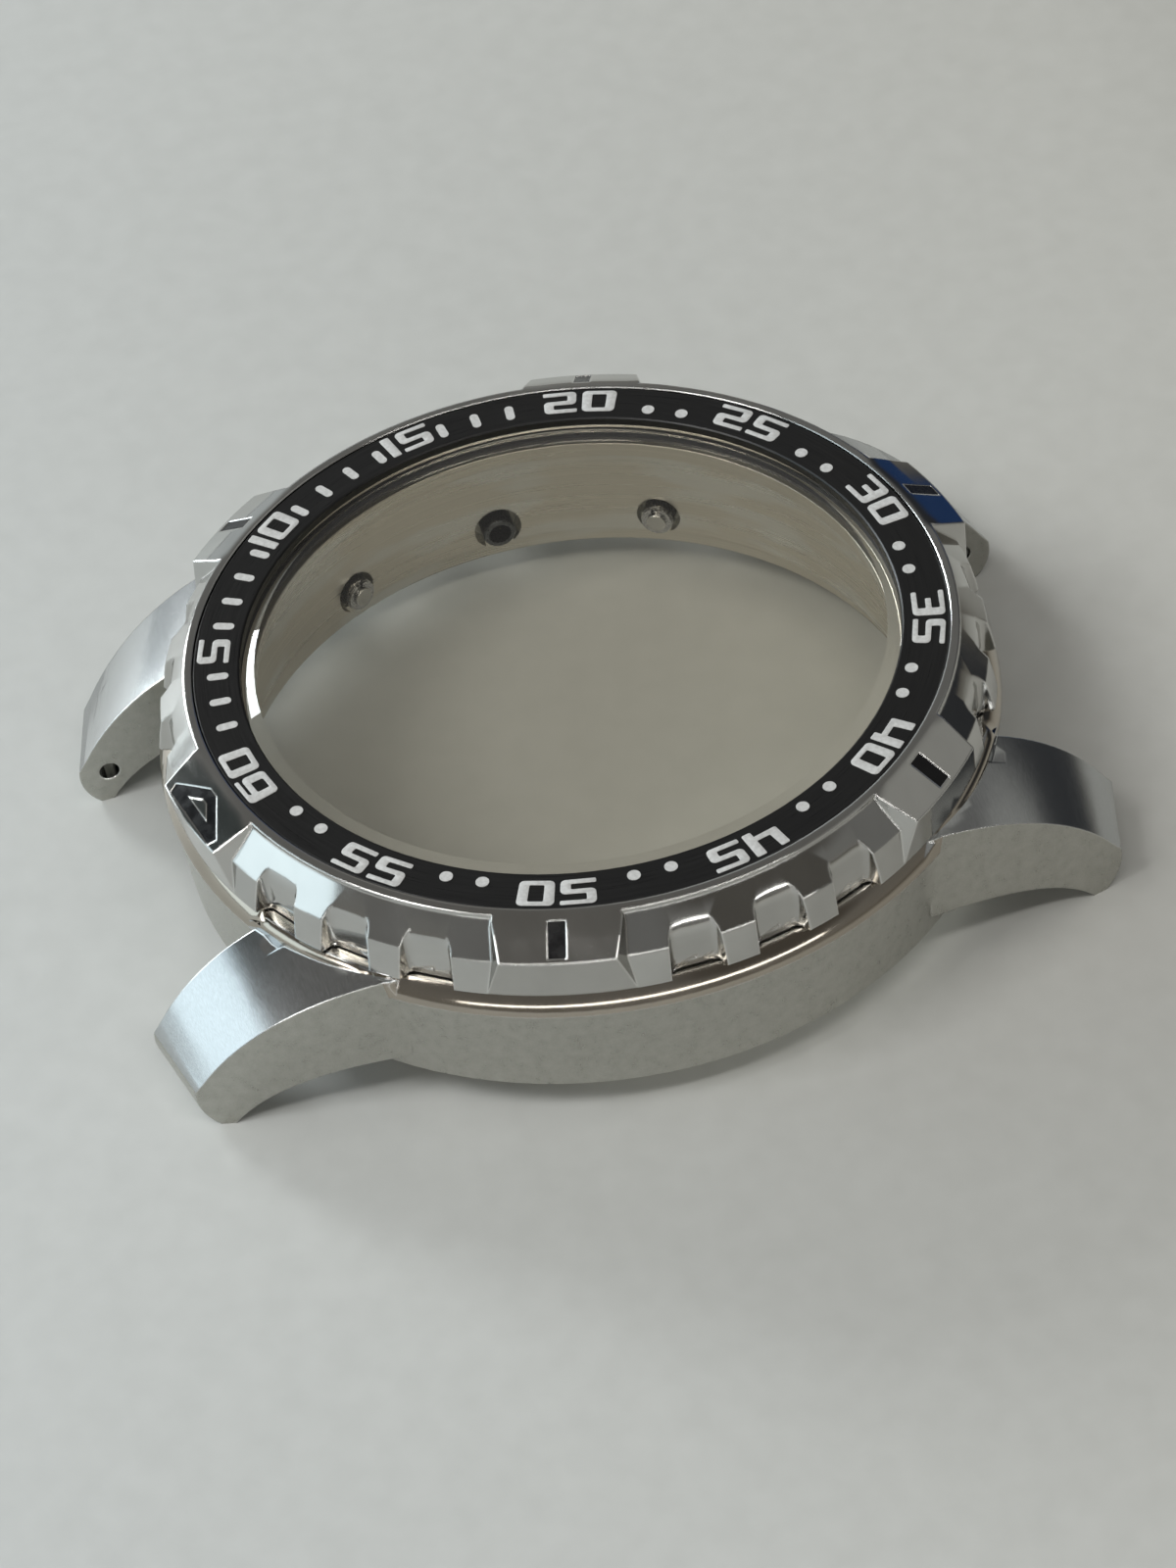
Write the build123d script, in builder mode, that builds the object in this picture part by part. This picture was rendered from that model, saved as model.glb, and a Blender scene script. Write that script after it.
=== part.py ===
# Empty chronograph case with a turning bezel, crystal, crown tube and two pushers.
# Millimetres. +X points to 3 o'clock (crown side), +Y to 12 o'clock, +Z out through the crystal.
# The origin lies on the case axis, in the flat face that the case back closes on.
import os
from math import cos, radians, sin, tan

from build123d import *

os.makedirs("parts", exist_ok=True)

# Driving sizes
crystal_radius = 17.0
lug_gap = 20.0
case_top_height = 6.85

# Crystal, its gasket and its seat in the neck
crystal_thickness = 2.0
crystal_bevel_width = 0.7
crystal_bevel_height = 0.28
gasket_wall = 0.4
gasket_foot = 0.2
gasket_lap = 0.2
crystal_seat_radius = crystal_radius + gasket_wall
neck_wall = 0.95
neck_rise = 2.5
neck_chamfer = 0.15
neck_radius = crystal_seat_radius + neck_wall
neck_height = case_top_height + neck_rise
crystal_seat_depth = 0.9
crystal_ledge_width = 0.9
crystal_ledge_thickness = 0.85
crystal_ledge_radius = crystal_seat_radius - crystal_ledge_width
crystal_ledge_height = neck_height - crystal_seat_depth

# Groove in the neck for the wire that holds the bezel
wire_groove_width = 0.6
wire_groove_depth = 0.33
wire_groove_drop = 0.85
wire_groove_height = neck_height - wire_groove_drop

# Inside of the case
movement_bore_step = 0.85
movement_bore_radius = crystal_radius + movement_bore_step
back_bore_step = 0.5
back_bore_radius = movement_bore_radius + back_bore_step
back_bore_depth = 1.15

# Outside of the case ring
case_wall = 3.5
case_shoulder_radius = back_bore_radius + case_wall
case_foot_taper = 0.45
case_foot_radius = case_shoulder_radius - case_foot_taper
case_foot_chamfer = 0.25
lip_width = 0.1
lip_drop = 0.75
lip_round_radius = 0.5
lip_radius = case_shoulder_radius + lip_width
lip_foot_height = case_top_height - lip_drop

# Lug side profile, as reach from the case axis and height
lug_overhang = 3.75
lug_tip_reach = case_shoulder_radius + lug_overhang
lug_root_depth = 7.1
lug_root_reach = case_shoulder_radius - lug_root_depth
lug_root_drop = 0.05
lug_root_height = case_top_height - lug_root_drop
lug_back_radius = 11.8
lug_bevel_setback = 0.45
lug_bevel_height = 1.15
lug_tip_height = 0.5
lug_tip_radius = 2.6
lug_heel_setback = 0.85
lug_foot_setback = 1.55
lug_foot_height = -1.9
lug_arch_setback = 9.1
lug_arch_height = 1.3
lug_arch_shares = ((0.19, 0.45), (0.48, 0.8))

# Lug plan: the outer flank bows in towards the tip, and the end face is slanted
lug_root_width = 6.75
lug_root_trim = 8.25
lug_tip_width = 4.3
lug_tip_trim = 0.3
lug_flank_radius = 53.5
lug_slant_angle = 14.0

# Spring-bar holes
spring_bar_hole_radius = 0.55
spring_bar_hole_depth = 1.6
spring_bar_setback = 1.6
spring_bar_height = 0.1

# Bezel ring and the insert in it
bezel_turn = 13.1
bezel_lift = 0.38
bezel_foot_height = case_top_height + bezel_lift
bezel_rise = 3.57
insert_top_height = bezel_foot_height + bezel_rise
insert_inner_gap = 0.05
insert_width = 2.45
insert_thickness = 0.6
insert_chamfer = 0.08
insert_gap = 0.03
insert_inner_radius = crystal_radius + insert_inner_gap
insert_outer_radius = insert_inner_radius + insert_width
adhesive_thickness = 0.1
adhesive_inner_margin = 0.38
adhesive_outer_margin = 0.05
rim_width = 0.5
rim_proud = 0.05
rim_step = 0.25
rim_radius = insert_outer_radius + rim_width
bezel_floor_gap = 0.2
bezel_floor_thickness = 0.6
bezel_floor_radius = crystal_radius + bezel_floor_gap
bezel_bore_gap = 0.07
bezel_bore_radius = neck_radius + bezel_bore_gap
bezel_groove_depth = 0.38
bezel_relief_width = 0.8
bezel_relief_depth = 0.62
bezel_relief_radius = neck_radius + bezel_relief_width
tooth_cone_width = 1.4
tooth_cone_drop = 1.8
tooth_edge_radius = rim_radius + tooth_cone_width
tooth_edge_height = insert_top_height - tooth_cone_drop
bezel_flare = 0.38
bezel_foot_radius = tooth_edge_radius + bezel_flare
bezel_foot_chamfer = 0.12

# Six raised blocks
block_count = 6
block_cone_width = 2.1
block_cone_drop = 1.19
block_root_lap = 0.3
block_draft_angle = 15.3
block_inner_width = 6.34
block_outer_width = 4.98
block_edge_radius = rim_radius + block_cone_width
block_edge_height = insert_top_height - block_cone_drop

# Three notches between each pair of blocks
notch_spread_angle = 12.0
notch_rim_width = 0.92
notch_radius = rim_radius + notch_rim_width
notch_lean_angle = 20.0
notch_lean_drop = 1.68
notch_lean_height = insert_top_height - notch_lean_drop
notch_back_width = 2.38
notch_flare_angle = 17.0
notch_corner_radius = 0.45

# Enamel let into the blocks
enamel_depth = 0.25
enamel_set_down = 0.03
slot_width = 0.86
slot_length = 1.63
slot_margin = 0.2
slot_middle_radius = rim_radius + slot_margin + slot_length / 2
triangle_margin = 0.25
triangle_base_radius = block_edge_radius - triangle_margin
triangle_base_width = 4.4
triangle_shoulder_setback = 0.4
triangle_shoulder_width = 4.76
triangle_length = 1.5
triangle_point_width = 0.64
triangle_band_width = 0.5

# Click of the bezel
click_count = 120
click_tooth_depth = 0.35
click_track_margin = 0.4
click_track_radius = rim_radius + click_track_margin
click_track_width = 1.0
click_pitch = radians(360 / click_count) * click_track_radius
click_space_share = 0.94
click_ball_share = 0.468
click_ball_radius = click_ball_share * click_pitch
click_ball_lift = 0.1
click_ball_side_gap = 0.03
click_hole_gap = 0.05
click_hole_depth = 2.85
click_spring_wire = 0.16
click_spring_gap = 0.05
click_spring_turns = 4

# Bezel gasket and retaining wire
bezel_gasket_radius = 0.3
bezel_gasket_gap = 0.02
retaining_wire_radius = 0.26
retaining_wire_gap_angle = 24.0

# Crown shoulder
crown_height = 2.2
crown_shoulder_root_depth = 2.85
crown_shoulder_root_width = 16.4
crown_shoulder_waist_overhang = 0.75
crown_shoulder_waist_width = 13.8
crown_shoulder_overhang = 2.45
crown_shoulder_face_width = 10.4
crown_shoulder_foot_height = 0.6
crown_shoulder_drop = 1.65
crown_shoulder_bevel = 0.5
crown_recess_radius = 3.6
crown_recess_depth = 1.6
crown_shoulder_reach = case_shoulder_radius + crown_shoulder_overhang
crown_recess_reach = crown_shoulder_reach - crown_recess_depth

# Crown tube, as reaches along its axis
tube_recess_radius = 1.3
tube_recess_depth = 1.05
tube_recess_reach = movement_bore_radius + tube_recess_depth
crown_tail_radius = 0.9
crown_tail_overhang = 0.5
crown_tail_reach = movement_bore_radius - crown_tail_overhang
crown_root_radius = 1.2
crown_root_length = 1.5
crown_root_reach = crown_recess_reach - crown_root_length
crown_thread_radius = 1.4
crown_thread_length = 5.0
crown_tube_reach = crown_recess_reach + crown_thread_length
crown_bore_radius = 0.62
crown_mouth_radius = 0.95
crown_mouth_depth = 2.2
crown_tube_chamfer = 0.15

# Pushers, at the same height on both sides of the crown
pusher_angle = 28.7
pusher_travel = 1.0
pusher_spot_depth = 1.45
pusher_spot_gap = 0.12
pusher_spot_reach = case_shoulder_radius - pusher_spot_depth
pusher_recess_radius = 1.2
pusher_tube_radius = 0.9
pusher_tube_overhang = 0.3
pusher_tube_rise = 0.8
pusher_tube_start = movement_bore_radius - pusher_tube_overhang
pusher_tube_end = pusher_spot_reach + pusher_tube_rise
pusher_bore_gap = 0.05
pusher_gasket_pocket_radius = 0.76
pusher_gasket_pocket_depth = 0.6
pusher_gasket_gap = 0.02
cap_radius = 1.8
cap_length = 3.5
cap_stop_gap = 0.1
cap_chamfer = 0.3
cap_bore_radius = 1.3
cap_bore_depth = 2.5
cap_start = pusher_spot_reach + pusher_travel + cap_stop_gap
stem_radius = 0.53
stem_overhang = 0.37
stem_start = pusher_tube_start - stem_overhang
clip_width = 0.18
clip_side_gap = 0.02
clip_neck_radius = 0.36
clip_radius = 0.85
clip_mouth_width = 0.5
clip_start = pusher_tube_start - clip_side_gap - clip_width
pusher_spring_wire = 0.22
pusher_spring_gap = 0.06
pusher_spring_end_gap = 0.02
pusher_spring_turns = 4
wire_sides = 6
gasket_sides = 8


def radial_plane(angle, reach, height):
    """Plane square to a radius of the case, looking outwards, at the given reach and height."""
    outwards = (cos(radians(angle)), sin(radians(angle)), 0)
    sideways = (-sin(radians(angle)), cos(radians(angle)), 0)
    origin = (outwards[0] * reach, outwards[1] * reach, height)
    return Plane(origin=origin, x_dir=sideways, z_dir=outwards)


def coil_spring(start_plane, length, coil_radius, wire_diameter, turns):
    """Compression spring that stands on the start plane and is as long as given."""
    pitch = (length - wire_diameter) / turns
    path = Helix(pitch=pitch, height=length - wire_diameter, radius=coil_radius)
    with BuildPart() as spring:
        with BuildSketch(Plane(origin=path @ 0, z_dir=path % 0)):
            RegularPolygon(radius=wire_diameter / 2, side_count=wire_sides)
        sweep(path=path, is_frenet=True)
    return start_plane.offset(wire_diameter / 2).location * spring.part


def layer_under_block_cone(low_depth, high_depth):
    """Ring that lies between two depths under the cone of the blocks."""
    with BuildPart() as layer:
        with BuildSketch(Plane.XZ):
            Polygon(
                (rim_radius, insert_top_height - low_depth),
                (block_edge_radius, block_edge_height - low_depth),
                (block_edge_radius, block_edge_height - high_depth),
                (rim_radius, insert_top_height - high_depth),
                align=None,
            )
        revolve(axis=Axis.Z)
    return layer.part


# One lug, at 1 to 2 o'clock: its side profile is swept square to the slanted end face
with BuildPart() as lug:
    with BuildSketch(Plane.YZ.offset(lug_gap / 2)):
        root_corner = (lug_root_reach, lug_root_height)
        bevel_top = (lug_tip_reach - lug_bevel_setback, lug_bevel_height)
        bevel_foot = (lug_tip_reach, lug_tip_height)
        heel = (lug_tip_reach - lug_heel_setback, lug_foot_height)
        foot = (lug_tip_reach - lug_foot_setback, lug_foot_height)
        arch_end = (lug_tip_reach - lug_arch_setback, lug_arch_height)
        arch_points = [
            (
                foot[0] + reach_share * (arch_end[0] - foot[0]),
                foot[1] + height_share * (arch_end[1] - foot[1]),
            )
            for reach_share, height_share in lug_arch_shares
        ]
        with BuildLine():
            RadiusArc(root_corner, bevel_top, lug_back_radius)
            Line(bevel_top, bevel_foot)
            RadiusArc(bevel_foot, heel, lug_tip_radius)
            Line(heel, foot)
            Spline(foot, *arch_points, arch_end)
            Polyline(arch_end, (lug_root_reach, lug_arch_height), root_corner)
        make_face()
    slant = (cos(radians(lug_slant_angle)), -sin(radians(lug_slant_angle)), 0)
    extrude(amount=lug_gap / 2, dir=slant)
    with BuildSketch(Plane.XY.offset(lug_foot_height)):
        flank_root = (lug_gap / 2 + lug_root_width, case_shoulder_radius - lug_root_trim)
        flank_tip = (lug_gap / 2 + lug_tip_width, lug_tip_reach + lug_tip_trim)
        with BuildLine():
            RadiusArc(flank_root, flank_tip, -lug_flank_radius)
            Polyline(flank_tip, (0, flank_tip[1]), (0, flank_root[1]), flank_root)
        make_face()
    extrude(amount=neck_height - lug_foot_height, mode=Mode.INTERSECT)
    with BuildSketch(Plane.YZ.offset(lug_gap / 2)):
        with Locations((lug_tip_reach - spring_bar_setback, spring_bar_height)):
            Circle(spring_bar_hole_radius)
    extrude(amount=spring_bar_hole_depth, mode=Mode.SUBTRACT)

# Crown shoulder, with a round recess that the crown drops into
with BuildPart() as crown_shoulder:
    crown_shoulder_root_reach = case_shoulder_radius - crown_shoulder_root_depth
    crown_shoulder_waist_reach = case_shoulder_radius + crown_shoulder_waist_overhang
    with BuildSketch(Plane.XY.offset(crown_shoulder_foot_height)):
        Polygon(
            (crown_shoulder_root_reach, -crown_shoulder_root_width / 2),
            (crown_shoulder_waist_reach, -crown_shoulder_waist_width / 2),
            (crown_shoulder_reach, -crown_shoulder_face_width / 2),
            (crown_shoulder_reach, crown_shoulder_face_width / 2),
            (crown_shoulder_waist_reach, crown_shoulder_waist_width / 2),
            (crown_shoulder_root_reach, crown_shoulder_root_width / 2),
            align=None,
        )
    extrude(amount=case_top_height - crown_shoulder_drop - crown_shoulder_foot_height)
    chamfer(crown_shoulder.faces().sort_by(Axis.Z)[0].edges(), length=crown_shoulder_bevel)
    chamfer(crown_shoulder.faces().sort_by(Axis.Z)[-1].edges(), length=crown_shoulder_bevel)
    with BuildSketch(radial_plane(0, crown_recess_reach, crown_height)):
        Circle(crown_recess_radius)
    extrude(amount=crown_tube_reach - crown_recess_reach, mode=Mode.SUBTRACT)

# Middle case: turned ring with its lugs and shoulder, its bores and its tube holes
with BuildPart() as case_middle:
    with BuildSketch(Plane.XZ):
        with BuildLine():
            Polyline(
                (lip_radius, case_top_height - lip_round_radius),
                (lip_radius, lip_foot_height),
                (case_shoulder_radius, lip_foot_height),
                (case_foot_radius, case_foot_chamfer),
                (case_foot_radius - case_foot_chamfer, 0),
                (crystal_ledge_radius, 0),
                (crystal_ledge_radius, neck_height),
                (neck_radius - neck_chamfer, neck_height),
                (neck_radius, neck_height - neck_chamfer),
                (neck_radius, case_top_height),
                (lip_radius - lip_round_radius, case_top_height),
            )
            RadiusArc(
                (lip_radius - lip_round_radius, case_top_height),
                (lip_radius, case_top_height - lip_round_radius),
                lip_round_radius,
            )
        make_face()
    revolve(axis=Axis.Z)
    for along in (lug.part, mirror(lug.part, about=Plane.YZ)):
        add(along)
        add(mirror(along, about=Plane.XZ))
    add(crown_shoulder.part)

    # Inside, from the back: back bore, movement bore, ledge and crystal seat
    with BuildSketch(Plane.XZ):
        Polygon(
            (0, 0),
            (back_bore_radius, 0),
            (back_bore_radius, back_bore_depth),
            (movement_bore_radius, back_bore_depth),
            (movement_bore_radius, crystal_ledge_height - crystal_ledge_thickness),
            (crystal_ledge_radius, crystal_ledge_height - crystal_ledge_thickness),
            (crystal_ledge_radius, crystal_ledge_height),
            (crystal_seat_radius, crystal_ledge_height),
            (crystal_seat_radius, neck_height),
            (0, neck_height),
            align=None,
        )
    revolve(axis=Axis.Z, mode=Mode.SUBTRACT)

    # Groove in the neck for the retaining wire
    with BuildSketch(Plane.XY.offset(wire_groove_height - wire_groove_width / 2)):
        Circle(neck_radius + wire_groove_depth)
        Circle(neck_radius - wire_groove_depth, mode=Mode.SUBTRACT)
    extrude(amount=wire_groove_width, mode=Mode.SUBTRACT)

    # Crown hole: inner recess, bore for the tube's tail and wider bore for its root
    with BuildSketch(radial_plane(0, crystal_ledge_radius, crown_height)):
        Circle(tube_recess_radius)
    extrude(amount=tube_recess_reach - crystal_ledge_radius, mode=Mode.SUBTRACT)
    with BuildSketch(radial_plane(0, tube_recess_reach, crown_height)):
        Circle(crown_tail_radius)
    extrude(amount=crown_root_reach - tube_recess_reach, mode=Mode.SUBTRACT)
    with BuildSketch(radial_plane(0, crown_root_reach, crown_height)):
        Circle(crown_root_radius)
    extrude(amount=crown_root_length, mode=Mode.SUBTRACT)

    # Pusher holes: inner recess, tube bore and a spot face that the cap sinks into
    for angle in (pusher_angle, -pusher_angle):
        with BuildSketch(radial_plane(angle, crystal_ledge_radius, crown_height)):
            Circle(pusher_recess_radius)
        extrude(amount=tube_recess_reach - crystal_ledge_radius, mode=Mode.SUBTRACT)
        with BuildSketch(radial_plane(angle, tube_recess_reach, crown_height)):
            Circle(pusher_tube_radius)
        extrude(amount=pusher_spot_reach - tube_recess_reach, mode=Mode.SUBTRACT)
        with BuildSketch(radial_plane(angle, pusher_spot_reach, crown_height)):
            Circle(cap_radius + pusher_spot_gap)
        extrude(amount=crown_tube_reach - pusher_spot_reach, mode=Mode.SUBTRACT)

    # Blind hole for the click, at 6 o'clock
    with BuildSketch(Plane.XY.offset(case_top_height)):
        with Locations((0, -click_track_radius)):
            Circle(click_ball_radius + click_hole_gap)
    extrude(amount=-click_hole_depth, mode=Mode.SUBTRACT)
case_middle.part.label = "case_middle"
export_step(case_middle.part, "parts/case_middle.step")

# Crystal: flat, with a bevelled edge
crystal_foot_height = crystal_ledge_height + gasket_foot
crystal_top_height = crystal_foot_height + crystal_thickness
with BuildPart() as crystal:
    with BuildSketch(Plane.XZ):
        Polygon(
            (0, crystal_foot_height),
            (crystal_radius, crystal_foot_height),
            (crystal_radius, crystal_top_height - crystal_bevel_height),
            (crystal_radius - crystal_bevel_width, crystal_top_height),
            (0, crystal_top_height),
            align=None,
        )
    revolve(axis=Axis.Z)
crystal.part.label = "crystal"
export_step(crystal.part, "parts/crystal.step")

# Crystal gasket: a ring round the crystal, with a foot under it
with BuildPart() as crystal_gasket:
    with BuildSketch(Plane.XZ):
        Polygon(
            (crystal_radius - gasket_lap, crystal_ledge_height),
            (crystal_seat_radius, crystal_ledge_height),
            (crystal_seat_radius, neck_height),
            (crystal_radius, neck_height),
            (crystal_radius, crystal_foot_height),
            (crystal_radius - gasket_lap, crystal_foot_height),
            align=None,
        )
    revolve(axis=Axis.Z)
crystal_gasket.part.label = "crystal_gasket"
export_step(crystal_gasket.part, "parts/crystal_gasket.step")

# Seats in the bezel, worked out down from the top of the insert
insert_seat_height = insert_top_height - insert_thickness
bezel_floor_height = insert_seat_height - adhesive_thickness
bezel_floor_foot_height = bezel_floor_height - bezel_floor_thickness
bezel_relief_height = bezel_foot_height + bezel_relief_depth
bezel_twelve_angle = 90 + bezel_turn
block_spacing_angle = 360 / block_count
slot_angles = [bezel_twelve_angle - block_spacing_angle * block for block in range(1, block_count)]
segment_angle = bezel_twelve_angle + block_spacing_angle / 2

# Stock of the raised blocks: a ring with the blocks' cone, cut down to drafted wedges
with BuildPart() as raised_blocks:
    with BuildSketch(Plane.XZ):
        Polygon(
            (rim_radius, insert_top_height),
            (block_edge_radius, block_edge_height),
            (bezel_foot_radius, bezel_foot_height + bezel_foot_chamfer),
            (bezel_foot_radius - bezel_foot_chamfer, bezel_foot_height),
            (insert_outer_radius + block_root_lap, bezel_foot_height),
            (insert_outer_radius + block_root_lap, insert_top_height - block_root_lap),
            align=None,
        )
    revolve(axis=Axis.Z)
    with BuildSketch(Plane.XY.offset(insert_top_height)):
        with PolarLocations(radius=0, count=block_count, start_angle=bezel_twelve_angle):
            Polygon(
                (insert_outer_radius, -block_inner_width / 2),
                (rim_radius, -block_inner_width / 2),
                (block_edge_radius, -block_outer_width / 2),
                (block_edge_radius + rim_step, -block_outer_width / 2),
                (block_edge_radius + rim_step, block_outer_width / 2),
                (block_edge_radius, block_outer_width / 2),
                (rim_radius, block_inner_width / 2),
                (insert_outer_radius, block_inner_width / 2),
                align=None,
            )
    extrude(amount=bezel_foot_height - insert_top_height, taper=-block_draft_angle, mode=Mode.INTERSECT)

# One notch of the grip, as a radial cutter with splayed sides and a back that leans in at the top
notch_length = block_edge_radius - notch_radius
notch_mouth_width = notch_back_width + notch_length * tan(radians(notch_flare_angle)) * 2
with BuildPart() as notch:
    with BuildSketch(Plane.XY.offset(notch_lean_height)) as notch_plan:
        Polygon(
            (notch_radius, -notch_back_width / 2),
            (notch_radius + notch_length, -notch_mouth_width / 2),
            (notch_radius + notch_length, notch_mouth_width / 2),
            (notch_radius, notch_back_width / 2),
            align=None,
        )
        fillet(notch_plan.vertices().sort_by(Axis.X)[:2], radius=notch_corner_radius)
    extrude(amount=bezel_foot_height - notch_lean_height)
    lean = (-sin(radians(notch_lean_angle)), 0, cos(radians(notch_lean_angle)))
    extrude(notch_plan.sketch, amount=insert_top_height - notch_lean_height, dir=lean)

# One space of the click track: a steep wall on one side and a ramp up to it on the other
click_wall_x = click_ball_radius + click_ball_side_gap
click_ramp_x = click_wall_x - click_space_share * click_pitch
with BuildPart() as click_space:
    with BuildSketch(radial_plane(-90, click_track_radius - click_track_width / 2, bezel_foot_height)):
        Polygon(
            (click_wall_x, -click_tooth_depth),
            (click_wall_x, click_tooth_depth),
            (click_ramp_x, 0),
            (click_ramp_x, -click_tooth_depth),
            align=None,
        )
    extrude(amount=click_track_width)

# Slots and triangle, which are let into the blocks and filled with enamel
triangle_shoulder_radius = triangle_base_radius - triangle_shoulder_setback
triangle_point_radius = triangle_base_radius - triangle_length
with BuildPart() as slot_prisms:
    with BuildSketch(Plane.XY.offset(bezel_foot_height)):
        for angle in slot_angles:
            with PolarLocations(radius=slot_middle_radius, count=1, start_angle=angle):
                Rectangle(slot_length, slot_width)
    extrude(amount=insert_top_height - bezel_foot_height)
with BuildPart() as triangle_prism:
    with BuildSketch(Plane.XY.offset(bezel_foot_height)):
        with PolarLocations(radius=0, count=1, start_angle=bezel_twelve_angle):
            Polygon(
                (triangle_point_radius, -triangle_point_width / 2),
                (triangle_shoulder_radius, -triangle_shoulder_width / 2),
                (triangle_base_radius, -triangle_base_width / 2),
                (triangle_base_radius, triangle_base_width / 2),
                (triangle_shoulder_radius, triangle_shoulder_width / 2),
                (triangle_point_radius, triangle_point_width / 2),
                align=None,
            )
        offset(amount=-triangle_band_width, kind=Kind.INTERSECTION, mode=Mode.SUBTRACT)
    extrude(amount=insert_top_height - bezel_foot_height)

# Bezel ring: click track underneath, blocks and notches round the rim
with BuildPart() as bezel_ring:
    with BuildSketch(Plane.XZ):
        Polygon(
            (bezel_floor_radius, bezel_floor_foot_height),
            (bezel_floor_radius, bezel_floor_height),
            (insert_outer_radius + insert_gap, bezel_floor_height),
            (insert_outer_radius + insert_gap, insert_top_height + rim_proud),
            (rim_radius, insert_top_height),
            (rim_radius, insert_top_height - rim_step),
            (tooth_edge_radius, tooth_edge_height),
            (bezel_foot_radius, bezel_foot_height + bezel_foot_chamfer),
            (bezel_foot_radius - bezel_foot_chamfer, bezel_foot_height),
            (bezel_relief_radius, bezel_foot_height),
            (bezel_relief_radius, bezel_relief_height),
            (bezel_bore_radius, bezel_relief_height),
            (bezel_bore_radius, wire_groove_height - wire_groove_width / 2),
            (bezel_bore_radius + bezel_groove_depth, wire_groove_height - wire_groove_width / 2),
            (bezel_bore_radius + bezel_groove_depth, wire_groove_height + wire_groove_width / 2),
            (bezel_bore_radius, wire_groove_height + wire_groove_width / 2),
            (bezel_bore_radius, bezel_floor_foot_height),
            align=None,
        )
    revolve(axis=Axis.Z)
    add(raised_blocks.part)
    with PolarLocations(radius=0, count=click_count):
        add(click_space.part, mode=Mode.SUBTRACT)
    for shift in (-notch_spread_angle, 0, notch_spread_angle):
        with PolarLocations(radius=0, count=block_count, start_angle=segment_angle + shift):
            add(notch.part, mode=Mode.SUBTRACT)
    pocket_layer = layer_under_block_cone(enamel_depth, -rim_step)
    add(slot_prisms.part & pocket_layer, mode=Mode.SUBTRACT)
    add(triangle_prism.part & pocket_layer, mode=Mode.SUBTRACT)
bezel_ring.part.label = "bezel_ring"
export_step(bezel_ring.part, "parts/bezel_ring.step")

# Enamel that fills the slots and the triangle to just under the face of the blocks
enamel_layer = layer_under_block_cone(enamel_depth, enamel_set_down)
with BuildPart() as slot_enamel:
    add(slot_prisms.part)
    add(enamel_layer, mode=Mode.INTERSECT)
slot_enamel.part.label = "slot_enamel"
export_step(slot_enamel.part, "parts/slot_enamel.step")
with BuildPart() as triangle_enamel:
    add(triangle_prism.part)
    add(enamel_layer, mode=Mode.INTERSECT)
triangle_enamel.part.label = "triangle_enamel"
export_step(triangle_enamel.part, "parts/triangle_enamel.step")

# Insert and the ring of adhesive that holds it
with BuildPart() as bezel_insert:
    with BuildSketch(Plane.XY.offset(insert_seat_height)):
        Circle(insert_outer_radius)
        Circle(insert_inner_radius, mode=Mode.SUBTRACT)
    extrude(amount=insert_thickness)
    chamfer(bezel_insert.edges().group_by(Axis.Z)[-1], length=insert_chamfer)
bezel_insert.part.label = "bezel_insert"
export_step(bezel_insert.part, "parts/bezel_insert.step")
with BuildPart() as insert_adhesive:
    with BuildSketch(Plane.XY.offset(bezel_floor_height)):
        Circle(insert_outer_radius - adhesive_outer_margin)
        Circle(insert_inner_radius + adhesive_inner_margin, mode=Mode.SUBTRACT)
    extrude(amount=adhesive_thickness)
insert_adhesive.part.label = "insert_adhesive"
export_step(insert_adhesive.part, "parts/insert_adhesive.step")

# Retaining wire: an open ring that lies half in the bezel's groove and half in the neck's
wire_path_radius = (neck_radius - wire_groove_depth + bezel_bore_radius + bezel_groove_depth) / 2
with BuildPart() as bezel_retaining_wire:
    with BuildSketch(Plane.XZ):
        with Locations((wire_path_radius, wire_groove_height)):
            RegularPolygon(radius=retaining_wire_radius, side_count=wire_sides)
    revolve(axis=Axis.Z, revolution_arc=360 - retaining_wire_gap_angle)
bezel_retaining_wire.part.label = "bezel_retaining_wire"
export_step(bezel_retaining_wire.part, "parts/bezel_retaining_wire.step")

# Bezel gasket: an O-ring in the corner between the neck and the top of the case
with BuildPart() as bezel_gasket:
    with BuildSketch(Plane.XZ):
        gasket_offset = bezel_gasket_radius + bezel_gasket_gap
        with Locations((neck_radius + gasket_offset, case_top_height + gasket_offset)):
            RegularPolygon(radius=bezel_gasket_radius, side_count=gasket_sides)
    revolve(axis=Axis.Z)
bezel_gasket.part.label = "bezel_gasket"
export_step(bezel_gasket.part, "parts/bezel_gasket.step")

# Click: a ball on a spring, in the blind hole at 6 o'clock
click_ball_height = bezel_foot_height + click_ball_lift - click_ball_radius
with BuildPart() as click_ball:
    with Locations((0, -click_track_radius, click_ball_height)):
        Sphere(click_ball_radius)
click_ball.part.label = "click_ball"
export_step(click_ball.part, "parts/click_ball.step")
click_hole_floor_height = case_top_height - click_hole_depth
click_spring = coil_spring(
    Plane((0, -click_track_radius, click_hole_floor_height)),
    click_ball_height - click_ball_radius - click_hole_floor_height,
    click_ball_radius - click_spring_gap - click_spring_wire / 2,
    click_spring_wire,
    click_spring_turns,
)
click_spring.label = "click_spring"
export_step(click_spring, "parts/click_spring.step")

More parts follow.
